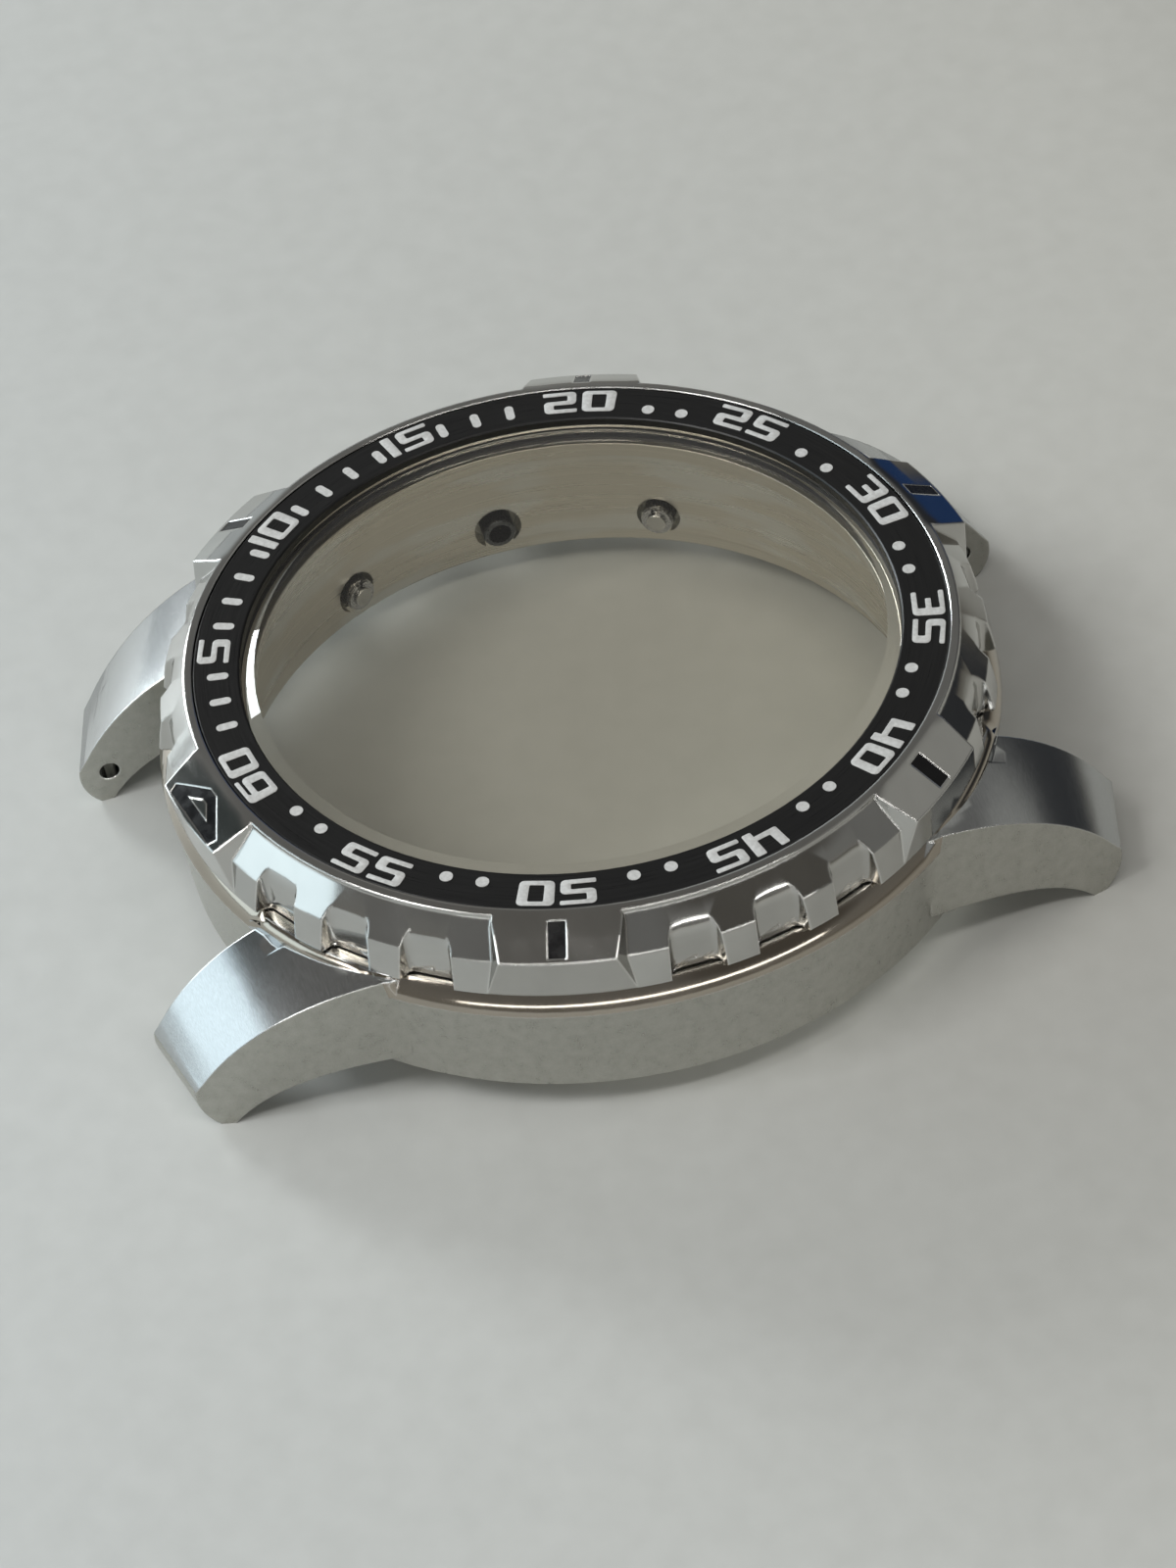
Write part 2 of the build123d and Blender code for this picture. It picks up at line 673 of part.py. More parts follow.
# Crown tube: a slender tail and a root in the case, and a thicker part outside for the crown's thread
with BuildPart() as crown_tube:
    with BuildSketch(radial_plane(0, crown_tail_reach, crown_height)):
        Circle(crown_tail_radius)
    extrude(amount=crown_root_reach - crown_tail_reach)
    with BuildSketch(radial_plane(0, crown_root_reach, crown_height)):
        Circle(crown_root_radius)
    extrude(amount=crown_root_length)
    with BuildSketch(radial_plane(0, crown_recess_reach, crown_height)):
        Circle(crown_thread_radius)
    extrude(amount=crown_thread_length)
    chamfer(crown_tube.faces().sort_by(Axis.X)[-1].edges(), length=crown_tube_chamfer)
    with BuildSketch(radial_plane(0, crown_tail_reach, crown_height)):
        Circle(crown_bore_radius)
    extrude(amount=crown_tube_reach - crown_tail_reach, mode=Mode.SUBTRACT)
    with BuildSketch(radial_plane(0, crown_tube_reach - crown_mouth_depth, crown_height)):
        Circle(crown_mouth_radius)
    extrude(amount=crown_mouth_depth, mode=Mode.SUBTRACT)
crown_tube.part.label = "crown_tube"
export_step(crown_tube.part, "parts/crown_tube.step")

# Pushers, above and below the crown: tube, button, clip, spring and stem gasket
pusher_bore_radius = stem_radius + pusher_bore_gap
pusher_gasket_radius = (pusher_gasket_pocket_radius - stem_radius) / 2 - pusher_gasket_gap
for place, angle in (("upper", pusher_angle), ("lower", -pusher_angle)):
    with BuildPart() as pusher_tube:
        with BuildSketch(radial_plane(angle, pusher_tube_start, crown_height)):
            Circle(pusher_tube_radius)
            Circle(pusher_bore_radius, mode=Mode.SUBTRACT)
        extrude(amount=pusher_tube_end - pusher_tube_start)
        with BuildSketch(radial_plane(angle, pusher_tube_end - pusher_gasket_pocket_depth, crown_height)):
            Circle(pusher_gasket_pocket_radius)
        extrude(amount=pusher_gasket_pocket_depth, mode=Mode.SUBTRACT)
    pusher_tube.part.label = f"{place}_pusher_tube"
    export_step(pusher_tube.part, f"parts/{place}_pusher_tube.step")

    with BuildPart() as pusher_button:
        with BuildSketch(radial_plane(angle, cap_start, crown_height)):
            Circle(cap_radius)
        extrude(amount=cap_length)
        chamfer(pusher_button.faces().sort_by(Axis.X)[-1].edges(), length=cap_chamfer)
        with BuildSketch(radial_plane(angle, cap_start, crown_height)):
            Circle(cap_bore_radius)
        extrude(amount=cap_bore_depth, mode=Mode.SUBTRACT)
        with BuildSketch(radial_plane(angle, stem_start, crown_height)):
            Circle(stem_radius)
        extrude(amount=cap_start + cap_bore_depth - stem_start)
        with BuildSketch(radial_plane(angle, clip_start - clip_side_gap, crown_height)):
            Circle(pusher_tube_radius)
            Circle(clip_neck_radius, mode=Mode.SUBTRACT)
        extrude(amount=clip_width + 2 * clip_side_gap, mode=Mode.SUBTRACT)
    pusher_button.part.label = f"{place}_pusher_button"
    export_step(pusher_button.part, f"parts/{place}_pusher_button.step")

    with BuildPart() as pusher_clip:
        with BuildSketch(radial_plane(angle, clip_start, crown_height)):
            Circle(clip_radius)
            Circle(clip_neck_radius + clip_side_gap, mode=Mode.SUBTRACT)
            with Locations((0, clip_radius / 2)):
                Rectangle(clip_mouth_width, clip_radius, mode=Mode.SUBTRACT)
        extrude(amount=clip_width)
    pusher_clip.part.label = f"{place}_pusher_clip"
    export_step(pusher_clip.part, f"parts/{place}_pusher_clip.step")

    pusher_spring = coil_spring(
        radial_plane(angle, pusher_spot_reach + pusher_spring_end_gap, crown_height),
        cap_start + cap_bore_depth - pusher_spot_reach - 2 * pusher_spring_end_gap,
        pusher_tube_radius + pusher_spring_gap + pusher_spring_wire / 2,
        pusher_spring_wire,
        pusher_spring_turns,
    )
    pusher_spring.label = f"{place}_pusher_spring"
    export_step(pusher_spring, f"parts/{place}_pusher_spring.step")

    pocket_middle = pusher_tube_end - pusher_gasket_pocket_depth / 2
    with BuildPart() as pusher_gasket:
        with BuildSketch(Plane.XZ):
            with Locations(((stem_radius + pusher_gasket_pocket_radius) / 2, 0)):
                RegularPolygon(radius=pusher_gasket_radius, side_count=gasket_sides)
        revolve(axis=Axis.Z)
    seated_gasket = radial_plane(angle, pocket_middle, crown_height).location * pusher_gasket.part
    seated_gasket.label = f"{place}_pusher_gasket"
    export_step(seated_gasket, f"parts/{place}_pusher_gasket.step")
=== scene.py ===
from math import atan2, cos, degrees, hypot, pi, radians, sin, tau

import bmesh
import bpy
from mathutils import Matrix, Vector


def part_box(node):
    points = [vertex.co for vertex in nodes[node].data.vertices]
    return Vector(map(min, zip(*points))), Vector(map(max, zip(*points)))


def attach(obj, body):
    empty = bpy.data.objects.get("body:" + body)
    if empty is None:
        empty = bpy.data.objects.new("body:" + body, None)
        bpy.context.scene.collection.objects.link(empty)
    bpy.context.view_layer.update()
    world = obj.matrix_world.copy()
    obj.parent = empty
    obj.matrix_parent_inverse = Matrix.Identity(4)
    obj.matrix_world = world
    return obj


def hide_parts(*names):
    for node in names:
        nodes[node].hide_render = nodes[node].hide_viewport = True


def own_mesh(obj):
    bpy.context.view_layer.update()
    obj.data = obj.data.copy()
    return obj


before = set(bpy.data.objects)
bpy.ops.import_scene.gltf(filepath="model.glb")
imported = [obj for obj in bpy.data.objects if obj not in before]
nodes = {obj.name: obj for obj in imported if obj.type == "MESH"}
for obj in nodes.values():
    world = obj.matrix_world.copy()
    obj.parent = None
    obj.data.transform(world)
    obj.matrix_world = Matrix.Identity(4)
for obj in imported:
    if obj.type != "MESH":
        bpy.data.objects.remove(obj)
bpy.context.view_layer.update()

# Lengths are written in millimetres and multiplied by MM, but for those of the lamps, which are in metres
MM = 0.001

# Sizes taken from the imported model
INSERT_TOP = (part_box("bezel_insert")[1] / MM).z
CASE_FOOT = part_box("case_middle")[0].z / MM
TUBE_LOW, TUBE_HIGH = (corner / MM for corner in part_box("crown_tube"))
CROWN_HEIGHT = (TUBE_LOW.z + TUBE_HIGH.z) / 2

# Bezel at rest: the 60 mark stands this many degrees anticlockwise of 12 o'clock
BEZEL_TURN = 13.1
MINUTE = 6.0             # degrees of one minute

# Bezel skirt: the foot of its outer wall is drawn down to just above the case
SKIRT_RADIUS = 20.91
SKIRT_BAND = 0.2
SKIRT_DROP = 0.26

# Springs: each node and the joint that presses it
SPRINGS = {
    "click_spring": "click_ball_dip",
    "upper_pusher_spring": "upper_pusher_press",
    "lower_pusher_spring": "lower_pusher_press",
}

# Polished lip of the case: height of its lower edge, how far down it is drawn, and the radii of its step
LIP_FOOT = 6.10
LIP_REACH = 0.45
LIP_RADII = (21.80, 22.0)
LIP_TOLERANCE = 0.01
# Its rounding: centre and radius as packed, and the flatter, wider arc that it is drawn to
LIP_ROUND = (21.45, 6.35, 0.5)
LIP_ROUND_TOLERANCE = 0.02
LIP_ARC = (19.647, 5.008, 2.4)
LIP_ARC_START, LIP_ARC_END = 40.0, 72.0

# Within a lug the lip's rounding stays as packed: beyond this distance from the middle plane, and this
# many degrees from the line through 3 and 9 o'clock
LUG_INNER_FACE = 9.98
LUG_FLANK_ANGLE = 39.5

# Turned inside of the case: faces within the radius and below the first height, and up to the second one
# those that don't face outward
INSIDE_RADIUS = 18.5
INSIDE_HEIGHTS = (8.4, 8.5)
INWARD = 0.1
# Polished shelf and neck: faces within the radius and above the height that face up or lie in the neck
SHELF_RADIUS = 21.46
SHELF_HEIGHT = 6.0
NECK_RADIUS = 19
UPWARD = 0.2
# Polished lip: faces beyond the radius and above the height that face outward and aren't level
LIP_START_RADIUS = 21.15
LIP_LOWEST = 5.6
OUTWARD = 0.3
LEVEL = 0.95
# Brushed lug tops: sloping faces beyond the radius and to the sides of the middle
LUG_TOP_RADIUS = 20.5
LUG_TOP_SIDE = 9.0
LUG_TOP_SLOPE = 0.25

# Lug tops are turned: by this share their slope leans away from the case's axis, not straight along the lug
TURNED_SHARE = 0.8

# Crown tube: radii and lengths, and the places along X where its dark end stops and plain brass begins
TUBE_BORE = 0.62
TUBE_TAIL = 0.9
TUBE_TAIL_CHAMFER = 0.08
TUBE_ROOT = 1.2
TUBE_ROOT_LENGTH = 1.5
TUBE_MOUTH = 0.95
TUBE_MOUTH_DEPTH = 2.2
TUBE_MOUTH_CHAMFER = 0.1
TUBE_DARK_END = 20.5
TUBE_BRASS_START = 22.0
TUBE_SIDES = 48

# Crown tube's thread
THREAD_RADIUS = 1.4
THREAD_DEPTH = 0.16
THREAD_PITCH = 0.42
THREAD_LENGTH = 5.0
THREAD_MARGIN = 0.15     # plain length before and after the thread
THREAD_RINGS = 8         # rings of points in one pitch
THREAD_FADE = 6          # the thread rises and falls over one part in this many of its length
THREAD_STEEPNESS = 2.4

# Printed marks on the insert
MARK_BASE = 17.6         # radius of the foot of the numerals and bars
NUMERAL_HEIGHT = 1.67
DIGIT_WIDTH = 0.94       # in minutes
DIGIT_GAP = 0.14         # in minutes
BAR_WIDTH = 0.25         # in minutes
BAR_HEIGHT = 1.12
BAR_CORNER_SHARE = 0.48  # of the bar's width
DOT_RADIUS = 0.335
DOT_CORNER_SHARE = 0.97  # of the dot's radius
DOT_RING = 17.85
MARK_CORNER_STEPS = 6
PRINT_RISE = 0.035
PRINT_EDGE = 0.03
PRINT_SINK = 0.01
BAR_MINUTES = (2, 3, 4, 6, 7, 8, 9, 11, 12, 13, 14, 16, 17, 18)
DOT_MINUTES = (22, 23, 27, 28, 32, 33, 37, 38, 42, 43, 47, 48, 52, 53, 57, 58)

# Digits are drawn in a box 1 wide and 1 high with its foot at 0: strokes and corners as shares of the box
STEM = 0.29              # width of an upright stroke
BEAM = 0.165             # height of a level stroke
BIG_CORNER = 0.16
SMALL_CORNER = 0.05
CORNER_SPREAD = 0.92     # how far a corner reaches along the width, for a reach of 1 along the height
DIGIT_CORNER_STEPS = 4

# Merging: points nearer than this are joined, and faces that turn by fewer degrees than this become one
JOIN_DISTANCE = 0.0005
DIGIT_JOIN_DISTANCE = 0.0002
FLAT_ANGLE = 0.3

# Edges that turn by more degrees than this stay sharp
CASE_EDGE_ANGLE = 36
BEZEL_EDGE_ANGLE = 25
PRINT_EDGE_ANGLE = 35
TUBE_EDGE_ANGLE = 30
SPRING_EDGE_ANGLE = 40

# Least values in divisions: of a radius, and of the slope of a normal
LEAST_RADIUS = 0.001
LEAST_SLOPE = 0.0001

# A noise lies mostly between these values
NOISE_LOW, NOISE_HIGH = 0.3, 0.7

# Sockets of a node that mixes colours: share, first colour, second colour, and the mixed colour it gives
MIX_SHARE, MIX_FIRST, MIX_SECOND, MIX_RESULT = 0, 6, 7, 2

# Camera: degrees round the case, up and rolled, and its distance and shifts from the insert's centre
CAMERA_TURN = (259.93, 44.30, -7.43)
CAMERA_DISTANCE = 250.4
CAMERA_RIGHT = 0.964
CAMERA_DOWN = 7.658
CAMERA_LENS = 112.17
NEAREST_SEEN = 10
FARTHEST_SEEN = 100000

# Air of the studio: its colour from the horizon, at 0, to straight above, at 1
AIR_STOPS = (
    (0.0, (0.22, 0.215, 0.20)),
    (0.25, (0.21, 0.21, 0.20)),
    (0.6, (0.18, 0.18, 0.175)),
    (1.0, (0.15, 0.145, 0.135)),
)

# Broad walls of the studio: direction, degrees where each is full and where it ends, and colour
SOFT_WALLS = (
    ((0.97, 0.22, 0.04), 12, 26, (0.52, 0.56, 0.57)),
    ((0.31, -0.90, 0.32), 16, 27, (0.035, 0.037, 0.040)),
    ((0.72, -0.62, 0.34), 11, 19, (0.030, 0.032, 0.036)),
    ((0.80, -0.59, 0.08), 9, 17, (0.02, 0.045, 0.12)),
    ((0.12, -0.68, 0.72), 12, 22, (0.34, 0.34, 0.32)),
    ((-0.68, -0.45, 0.58), 12, 26, (0.10, 0.095, 0.085)),
    ((0.54, 0.59, 0.60), 8, 17, (0.06, 0.07, 0.07)),
)

# Lamps: direction from the case, distance, width and height in metres, power in watts and colour
LAMPS = (
    ("window_light", (0.18, 0.92, 0.33), 0.45, (0.28, 0.29), 0.41, (0.76, 0.92, 1.0)),
    ("far_window_light", (0.75, 0.63, 0.21), 0.50, (0.26, 0.17), 0.80, (0.86, 0.95, 1.0)),
    ("far_light", (0.80, 0.42, 0.42), 0.60, (0.16, 0.16), 1.20, (0.95, 0.99, 1.0)),
    ("left_ceiling_light", (-0.15, 0.60, 0.785), 0.60, (0.22, 0.22), 1.25, (1.0, 1.0, 0.99)),
    ("strip_light", (-0.42, 0.0, 0.90), 0.60, (0.62, 0.06), 0.95, (1.0, 0.99, 0.965)),
    ("low_strip_light", (-0.96, 0.05, 0.27), 0.60, (1.1, 0.035), 0.70, (1.0, 1.0, 0.98)),
)

# Table: its reach to each side, and the places along Y over which its tone drifts from window to far side:
# painted cool light near the window, then painted shade beyond the far side
TABLE_REACH = 2500
TABLE_NEAR_WINDOW = 40
TABLE_FAR_SIDE = -45
TABLE_DUSK = -130


# Camera and lamps
def aim(azimuth, elevation, roll):
    """Right, up and backward directions of a camera that looks at the case from that side."""
    a, e, r = radians(azimuth), radians(elevation), radians(roll)
    back = Vector((sin(a) * cos(e), -cos(a) * cos(e), sin(e)))
    right = (-back).cross(Vector((0, 0, 1))).normalized()
    up = right.cross(-back)
    return cos(r) * right + sin(r) * up, cos(r) * up - sin(r) * right, back


def make_camera():
    """The photograph's view of the case."""
    right, up, back = aim(*CAMERA_TURN)
    target = Vector((0, 0, INSERT_TOP))
    place = (target + back * CAMERA_DISTANCE + right * CAMERA_RIGHT - up * CAMERA_DOWN) * MM
    data = bpy.data.cameras.new("camera")
    data.lens = CAMERA_LENS
    data.clip_start = NEAREST_SEEN * MM
    data.clip_end = FARTHEST_SEEN * MM
    camera = bpy.data.objects.new("camera", data)
    bpy.context.scene.collection.objects.link(camera)
    camera.matrix_world = Matrix((
        (right.x, up.x, back.x, place.x),
        (right.y, up.y, back.y, place.y),
        (right.z, up.z, back.z, place.z),
        (0, 0, 0, 1),
    ))
    bpy.context.scene.camera = camera


def area_lamp(name, towards, distance, size, power, colour):
    """A soft box that stands in a direction from the case and faces it."""
    data = bpy.data.lights.new(name, "AREA")
    data.shape = "RECTANGLE"
    data.size, data.size_y = size
    data.energy = power
    data.color = colour
    lamp = bpy.data.objects.new(name, data)
    bpy.context.scene.collection.objects.link(lamp)
    direction = Vector(towards).normalized()
    lamp.location = direction * distance
    lamp.rotation_euler = direction.to_track_quat("Z", "Y").to_euler()


# Materials
def add_node(tree, kind, **settings):
    """A new node in a tree, with its settings."""
    made = tree.nodes.new(kind)
    for key, value in settings.items():
        setattr(made, key, value)
    return made


def toned(colour, share):
    """A colour made darker or lighter."""
    return tuple(part * share for part in colour)


class Finish:
    """One material and short ways to add its nodes."""

    def __init__(self, name, **sockets):
        self.material = bpy.data.materials.new(name)
        self.material.use_nodes = True
        self.tree = self.material.node_tree
        self.tree.nodes.clear()
        self.output = self.tree.nodes.new("ShaderNodeOutputMaterial")
        self.shader = self.tree.nodes.new("ShaderNodeBsdfPrincipled")
        self.tree.links.new(self.shader.outputs["BSDF"], self.output.inputs["Surface"])
        for key, value in sockets.items():
            self.shader.inputs[key.replace("_", " ")].default_value = value

    def node(self, kind, inputs=None, **settings):
        """A node, with each input set to a value or linked to another node's output."""
        made = add_node(self.tree, "ShaderNode" + kind, **settings)
        for key, value in (inputs or {}).items():
            if isinstance(value, bpy.types.NodeSocket):
                self.tree.links.new(value, made.inputs[key])
            else:
                made.inputs[key].default_value = value
        return made

    def math(self, operation, first, second=0.0):
        return self.node("Math", {0: first, 1: second}, operation=operation).outputs[0]

    def place(self, per_mm=(1, 1, 1), turn=(0, 0, 0)):
        """Object coordinates in millimetres, turned and then stretched."""
        found = self.node("TexCoord").outputs["Object"]
        turned = self.node("Mapping", {"Vector": found, "Rotation": turn})
        scale = [s / MM for s in per_mm]
        return self.node("VectorMath", {0: turned.outputs[0], 1: scale}, operation="MULTIPLY").outputs[0]

    def polar(self, per_radius, per_turn, per_height):
        """Coordinates of radius, angle and height round the case axis, stretched one by one."""
        x, y, z = self.node("SeparateXYZ", {0: self.place()}).outputs
        squares = [self.math("MULTIPLY", side, side) for side in (x, y)]
        radius = self.math("SQRT", self.math("ADD", *squares))
        safe = self.math("ADD", radius, LEAST_RADIUS)
        around = [self.math("MULTIPLY", self.math("DIVIDE", side, safe), per_turn) for side in (x, y)]
        rise = [self.math("MULTIPLY", radius, per_radius), self.math("MULTIPLY", z, per_height)]
        wanted = {0: around[0], 1: around[1], 2: self.math("ADD", *rise)}
        return self.node("CombineXYZ", wanted).outputs[0]

    def noise(self, vector, scale=1.0, detail=2.0, roughness=0.5):
        """An uneven pattern."""
        wanted = {"Vector": vector, "Scale": scale, "Detail": detail, "Roughness": roughness}
        return self.node("TexNoise", wanted).outputs["Fac"]

    def spread(self, value, low, high, out_low, out_high):
        """A value stretched from one range to another, and held within it."""
        wanted = {"Value": value, "From Min": low, "From Max": high, "To Min": out_low, "To Max": out_high}
        return self.node("MapRange", wanted).outputs["Result"]

    def vary(self, noise, low, high):
        """A value that goes from low to high with a noise."""
        return self.spread(noise, NOISE_LOW, NOISE_HIGH, low, high)

    def tint(self, factor, first, second):
        """A colour between two, by a factor."""
        return self.blend(factor, (*first, 1), (*second, 1))

    def mottle(self, noise, first, second):
        """A colour that goes from one to the other with a noise."""
        return self.tint(self.vary(noise, 0, 1), first, second)

    def blend(self, factor, first, second):
        """A colour between two that may come from other nodes."""
        wanted = {MIX_SHARE: factor, MIX_FIRST: first, MIX_SECOND: second}
        return self.node("Mix", wanted, data_type="RGBA").outputs[MIX_RESULT]

    def rounded(self, width):
        """A normal that turns round the hard edges, as if each were broken by that width."""
        return self.node("Bevel", {"Radius": width * MM}, samples=6).outputs[0]

    def wear(self, width):
        """Share of painted edge highlight: 1 on the edges, where the rounded and the flat normal part, and 0
        away from them.
        """
        flat = self.node("NewGeometry").outputs["Normal"]
        wanted = {0: self.rounded(width), 1: flat}
        same = self.node("VectorMath", wanted, operation="DOT_PRODUCT").outputs["Value"]
        return self.spread(same, 0.995, 0.85, 0.0, 1.0)

    def bump(self, height, distance, strength=1.0, after=None):
        """A normal that follows a height, on top of another normal where one is given."""
        wanted = {"Height": height, "Distance": distance * MM, "Strength": strength}
        if after is not None:
            wanted["Normal"] = after
        return self.node("Bump", wanted).outputs["Normal"]

    def feed(self, **links):
        """Links outputs to the shader's inputs, and gives the material."""
        for key, value in links.items():
            self.tree.links.new(value, self.shader.inputs[key.replace("_", " ")])
        return self.material


def polished_steel(name, colour=(0.55, 0.545, 0.525), roughness=0.09):
    """Polished steel with a slight ripple, hairlines, finger smears and rounded edges, lightened by a
    painted highlight.
    """
    f = Finish(name, Metallic=1.0)
    edge = 0.18
    ripple = f.noise(f.place(), scale=0.35, detail=1.0)
    hairline = f.noise(f.place((1.5, 14, 14), (0.3, 0.2, 0.6)), scale=1.6, detail=3.0)
    smear = f.noise(f.place((0.6, 1.0, 0.8)), scale=0.5, detail=4.0)
    edge_highlight = f.wear(edge)
    rough = f.math("ADD", f.spread(smear, 0.35, 0.75, roughness * 0.75, roughness * 1.5),
                   f.spread(hairline, 0.62, 0.8, 0.0, 0.08))
    normal = f.bump(ripple, 0.05, 0.10, after=f.rounded(edge))
    normal = f.bump(hairline, 0.002, 0.20, after=normal)
    body = f.mottle(smear, toned(colour, 0.92), colour)
    # Painted highlight: the edges are lightened towards near white
    tone = f.blend(f.math("MULTIPLY", edge_highlight, 0.7), body, (0.90, 0.89, 0.87, 1))
    return f.feed(Base_Color=tone, Roughness=rough, Normal=normal)


def satin_steel(name):
    """Fine satin steel: a short grain, faint blotches, small pits and rounded edges, lightened by a painted
    highlight.
    """
    f = Finish(name, Metallic=1.0)
    edge = 0.16
    grain = f.noise(f.polar(3.0, 420.0, 2.4), scale=1.0, detail=4.0, roughness=0.65)
    speck = f.noise(f.place(), scale=13.0, detail=5.0, roughness=0.75)
    cloud = f.noise(f.place(), scale=1.6, detail=4.0, roughness=0.6)
    both = f.math("ADD", f.math("MULTIPLY", grain, 0.45), f.math("MULTIPLY", speck, 0.55))
    rough = f.math("ADD", f.vary(both, 0.26, 0.36), f.vary(cloud, -0.04, 0.04))
    mixed = f.math("ADD", f.math("MULTIPLY", speck, 0.5), f.math("MULTIPLY", cloud, 0.5))
    tone = f.tint(f.spread(mixed, 0.32, 0.68, 0, 1), (0.40, 0.395, 0.36), (0.53, 0.525, 0.485))
    # Painted highlight: the edges are lightened
    tone = f.blend(f.math("MULTIPLY", f.wear(edge), 0.5), tone, (0.80, 0.79, 0.76, 1))
    normal = f.bump(both, 0.014, 0.42, after=f.rounded(edge))
    return f.feed(Base_Color=tone, Roughness=rough, Normal=normal)


def brushed_steel(name):
    """Lug tops: fine brush lines that run across the lug, so the shine spreads along it."""
    f = Finish(name, Metallic=1.0, Anisotropic=0.35)
    line = f.noise(f.place((0.5, 12, 12)), scale=1.6, detail=3.0, roughness=0.6)
    tone = f.mottle(line, (0.47, 0.48, 0.48), (0.56, 0.57, 0.575))
    # Painted highlight: the edges are lightened
    tone = f.blend(f.math("MULTIPLY", f.wear(0.16), 0.6), tone, (0.84, 0.84, 0.83, 1))
    rough = f.spread(line, 0.25, 0.75, 0.17, 0.21)
    normal = f.bump(line, 0.003, 0.3, after=f.rounded(0.12))
    along = f.node("CombineXYZ", {1: 1.0}).outputs[0]
    return f.feed(Base_Color=tone, Roughness=rough, Normal=normal, Tangent=along)


def turned_steel(name):
    """Inside of the case: long lathe rings, with brighter and duller bands, and patches of painted sheen."""
    f = Finish(name, Metallic=1.0)
    colour = (0.66, 0.625, 0.56)
    ring = f.noise(f.polar(5.0, 0.10, 5.0), scale=1.0, detail=4.0, roughness=0.6)
    broad = f.noise(f.polar(0.9, 1.1, 1.3), scale=1.0, detail=3.0)
    tone = f.mottle(ring, toned(colour, 0.9), toned(colour, 1.08))
    # Painted sheen: pale grey patches that stand in for light reflected on the wall
    patch = f.noise(f.polar(0.2, 2.2, 0.5), scale=1.0, detail=2.0)
    tone_with_painted_sheen = f.blend(f.spread(patch, 0.50, 0.60, 0, 0.6), tone, (0.72, 0.73, 0.72, 1))
    rough = f.math("ADD", f.vary(ring, 0.24, 0.34), f.vary(broad, -0.05, 0.06))
    normal = f.bump(ring, 0.006, 0.4, after=f.rounded(0.10))
    return f.feed(Base_Color=tone_with_painted_sheen, Roughness=rough, Normal=normal)


def spun_metal(name, colour):
    """Small turned pieces and wire: fine grain and uneven shine."""
    f = Finish(name, Metallic=1.0)
    grain = f.noise(f.place((9, 9, 9)), scale=1.0, detail=3.0, roughness=0.6)
    tone = f.mottle(grain, toned(colour, 0.85), colour)
    rough = f.vary(grain, 0.2, 0.325)
    return f.feed(Base_Color=tone, Roughness=rough, Normal=f.bump(grain, 0.01, 0.25))


def tube_finish(name):
    """Brass outside, dark towards the end that stands in the case."""
    f = Finish(name, Metallic=1.0)
    grain = f.noise(f.place((9, 9, 9)), scale=1.0, detail=3.0, roughness=0.6)
    along = f.node("SeparateXYZ", {0: f.place()}).outputs[0]
    outside = f.spread(along, TUBE_DARK_END, TUBE_BRASS_START, 0, 1)
    brass = f.mottle(grain, (0.50, 0.42, 0.26), (0.66, 0.58, 0.38))
    # Dark towards the end that stands in the case, plain brass beyond
    tone = f.blend(outside, (0.11, 0.115, 0.12, 1), brass)
    rough = f.vary(grain, 0.24, 0.36)
    normal = f.bump(grain, 0.01, 0.25, after=f.rounded(0.05))
    return f.feed(Base_Color=tone, Roughness=rough, Normal=normal)


def black_insert_finish(name):
    """Anodised insert: near black, with a fine brush that runs round it."""
    f = Finish(name, Metallic=0.0, Specular_IOR_Level=0.38)
    brush = f.noise(f.polar(16.0, 5.0, 3.0), scale=1.0, detail=4.0, roughness=0.65)
    dust = f.noise(f.place(), scale=3.5, detail=4.0, roughness=0.7)
    tone = f.tint(f.spread(brush, 0.3, 0.75, 0, 1), (0.0060, 0.0060, 0.0062), (0.0125, 0.0120, 0.0118))
    rough = f.math("ADD", f.vary(brush, 0.26, 0.38), f.spread(dust, 0.55, 0.75, 0.0, 0.08))
    normal = f.bump(brush, 0.004, 0.5, after=f.rounded(0.06))
    return f.feed(Base_Color=tone, Roughness=rough, Normal=normal)


def white_print_finish(name):
    """Thick white print with a slightly uneven skin."""
    f = Finish(name)
    skin = f.noise(f.place(), scale=5.0, detail=3.0)
    tone = f.mottle(skin, (0.50, 0.50, 0.49), (0.62, 0.62, 0.61))
    rough = f.vary(skin, 0.42, 0.6)
    return f.feed(Base_Color=tone, Roughness=rough, Normal=f.bump(skin, 0.01, 0.3))


def black_enamel_finish(name):
    """Black enamel that has sunk a little."""
    f = Finish(name, Specular_IOR_Level=0.22)
    skin = f.noise(f.place(), scale=1.4, detail=3.0)
    tone = f.mottle(skin, (0.0025, 0.0025, 0.003), (0.0065, 0.0065, 0.007))
    rough = f.vary(skin, 0.2, 0.34)
    return f.feed(Base_Color=tone, Roughness=rough, Normal=f.bump(skin, 0.03, 0.3))


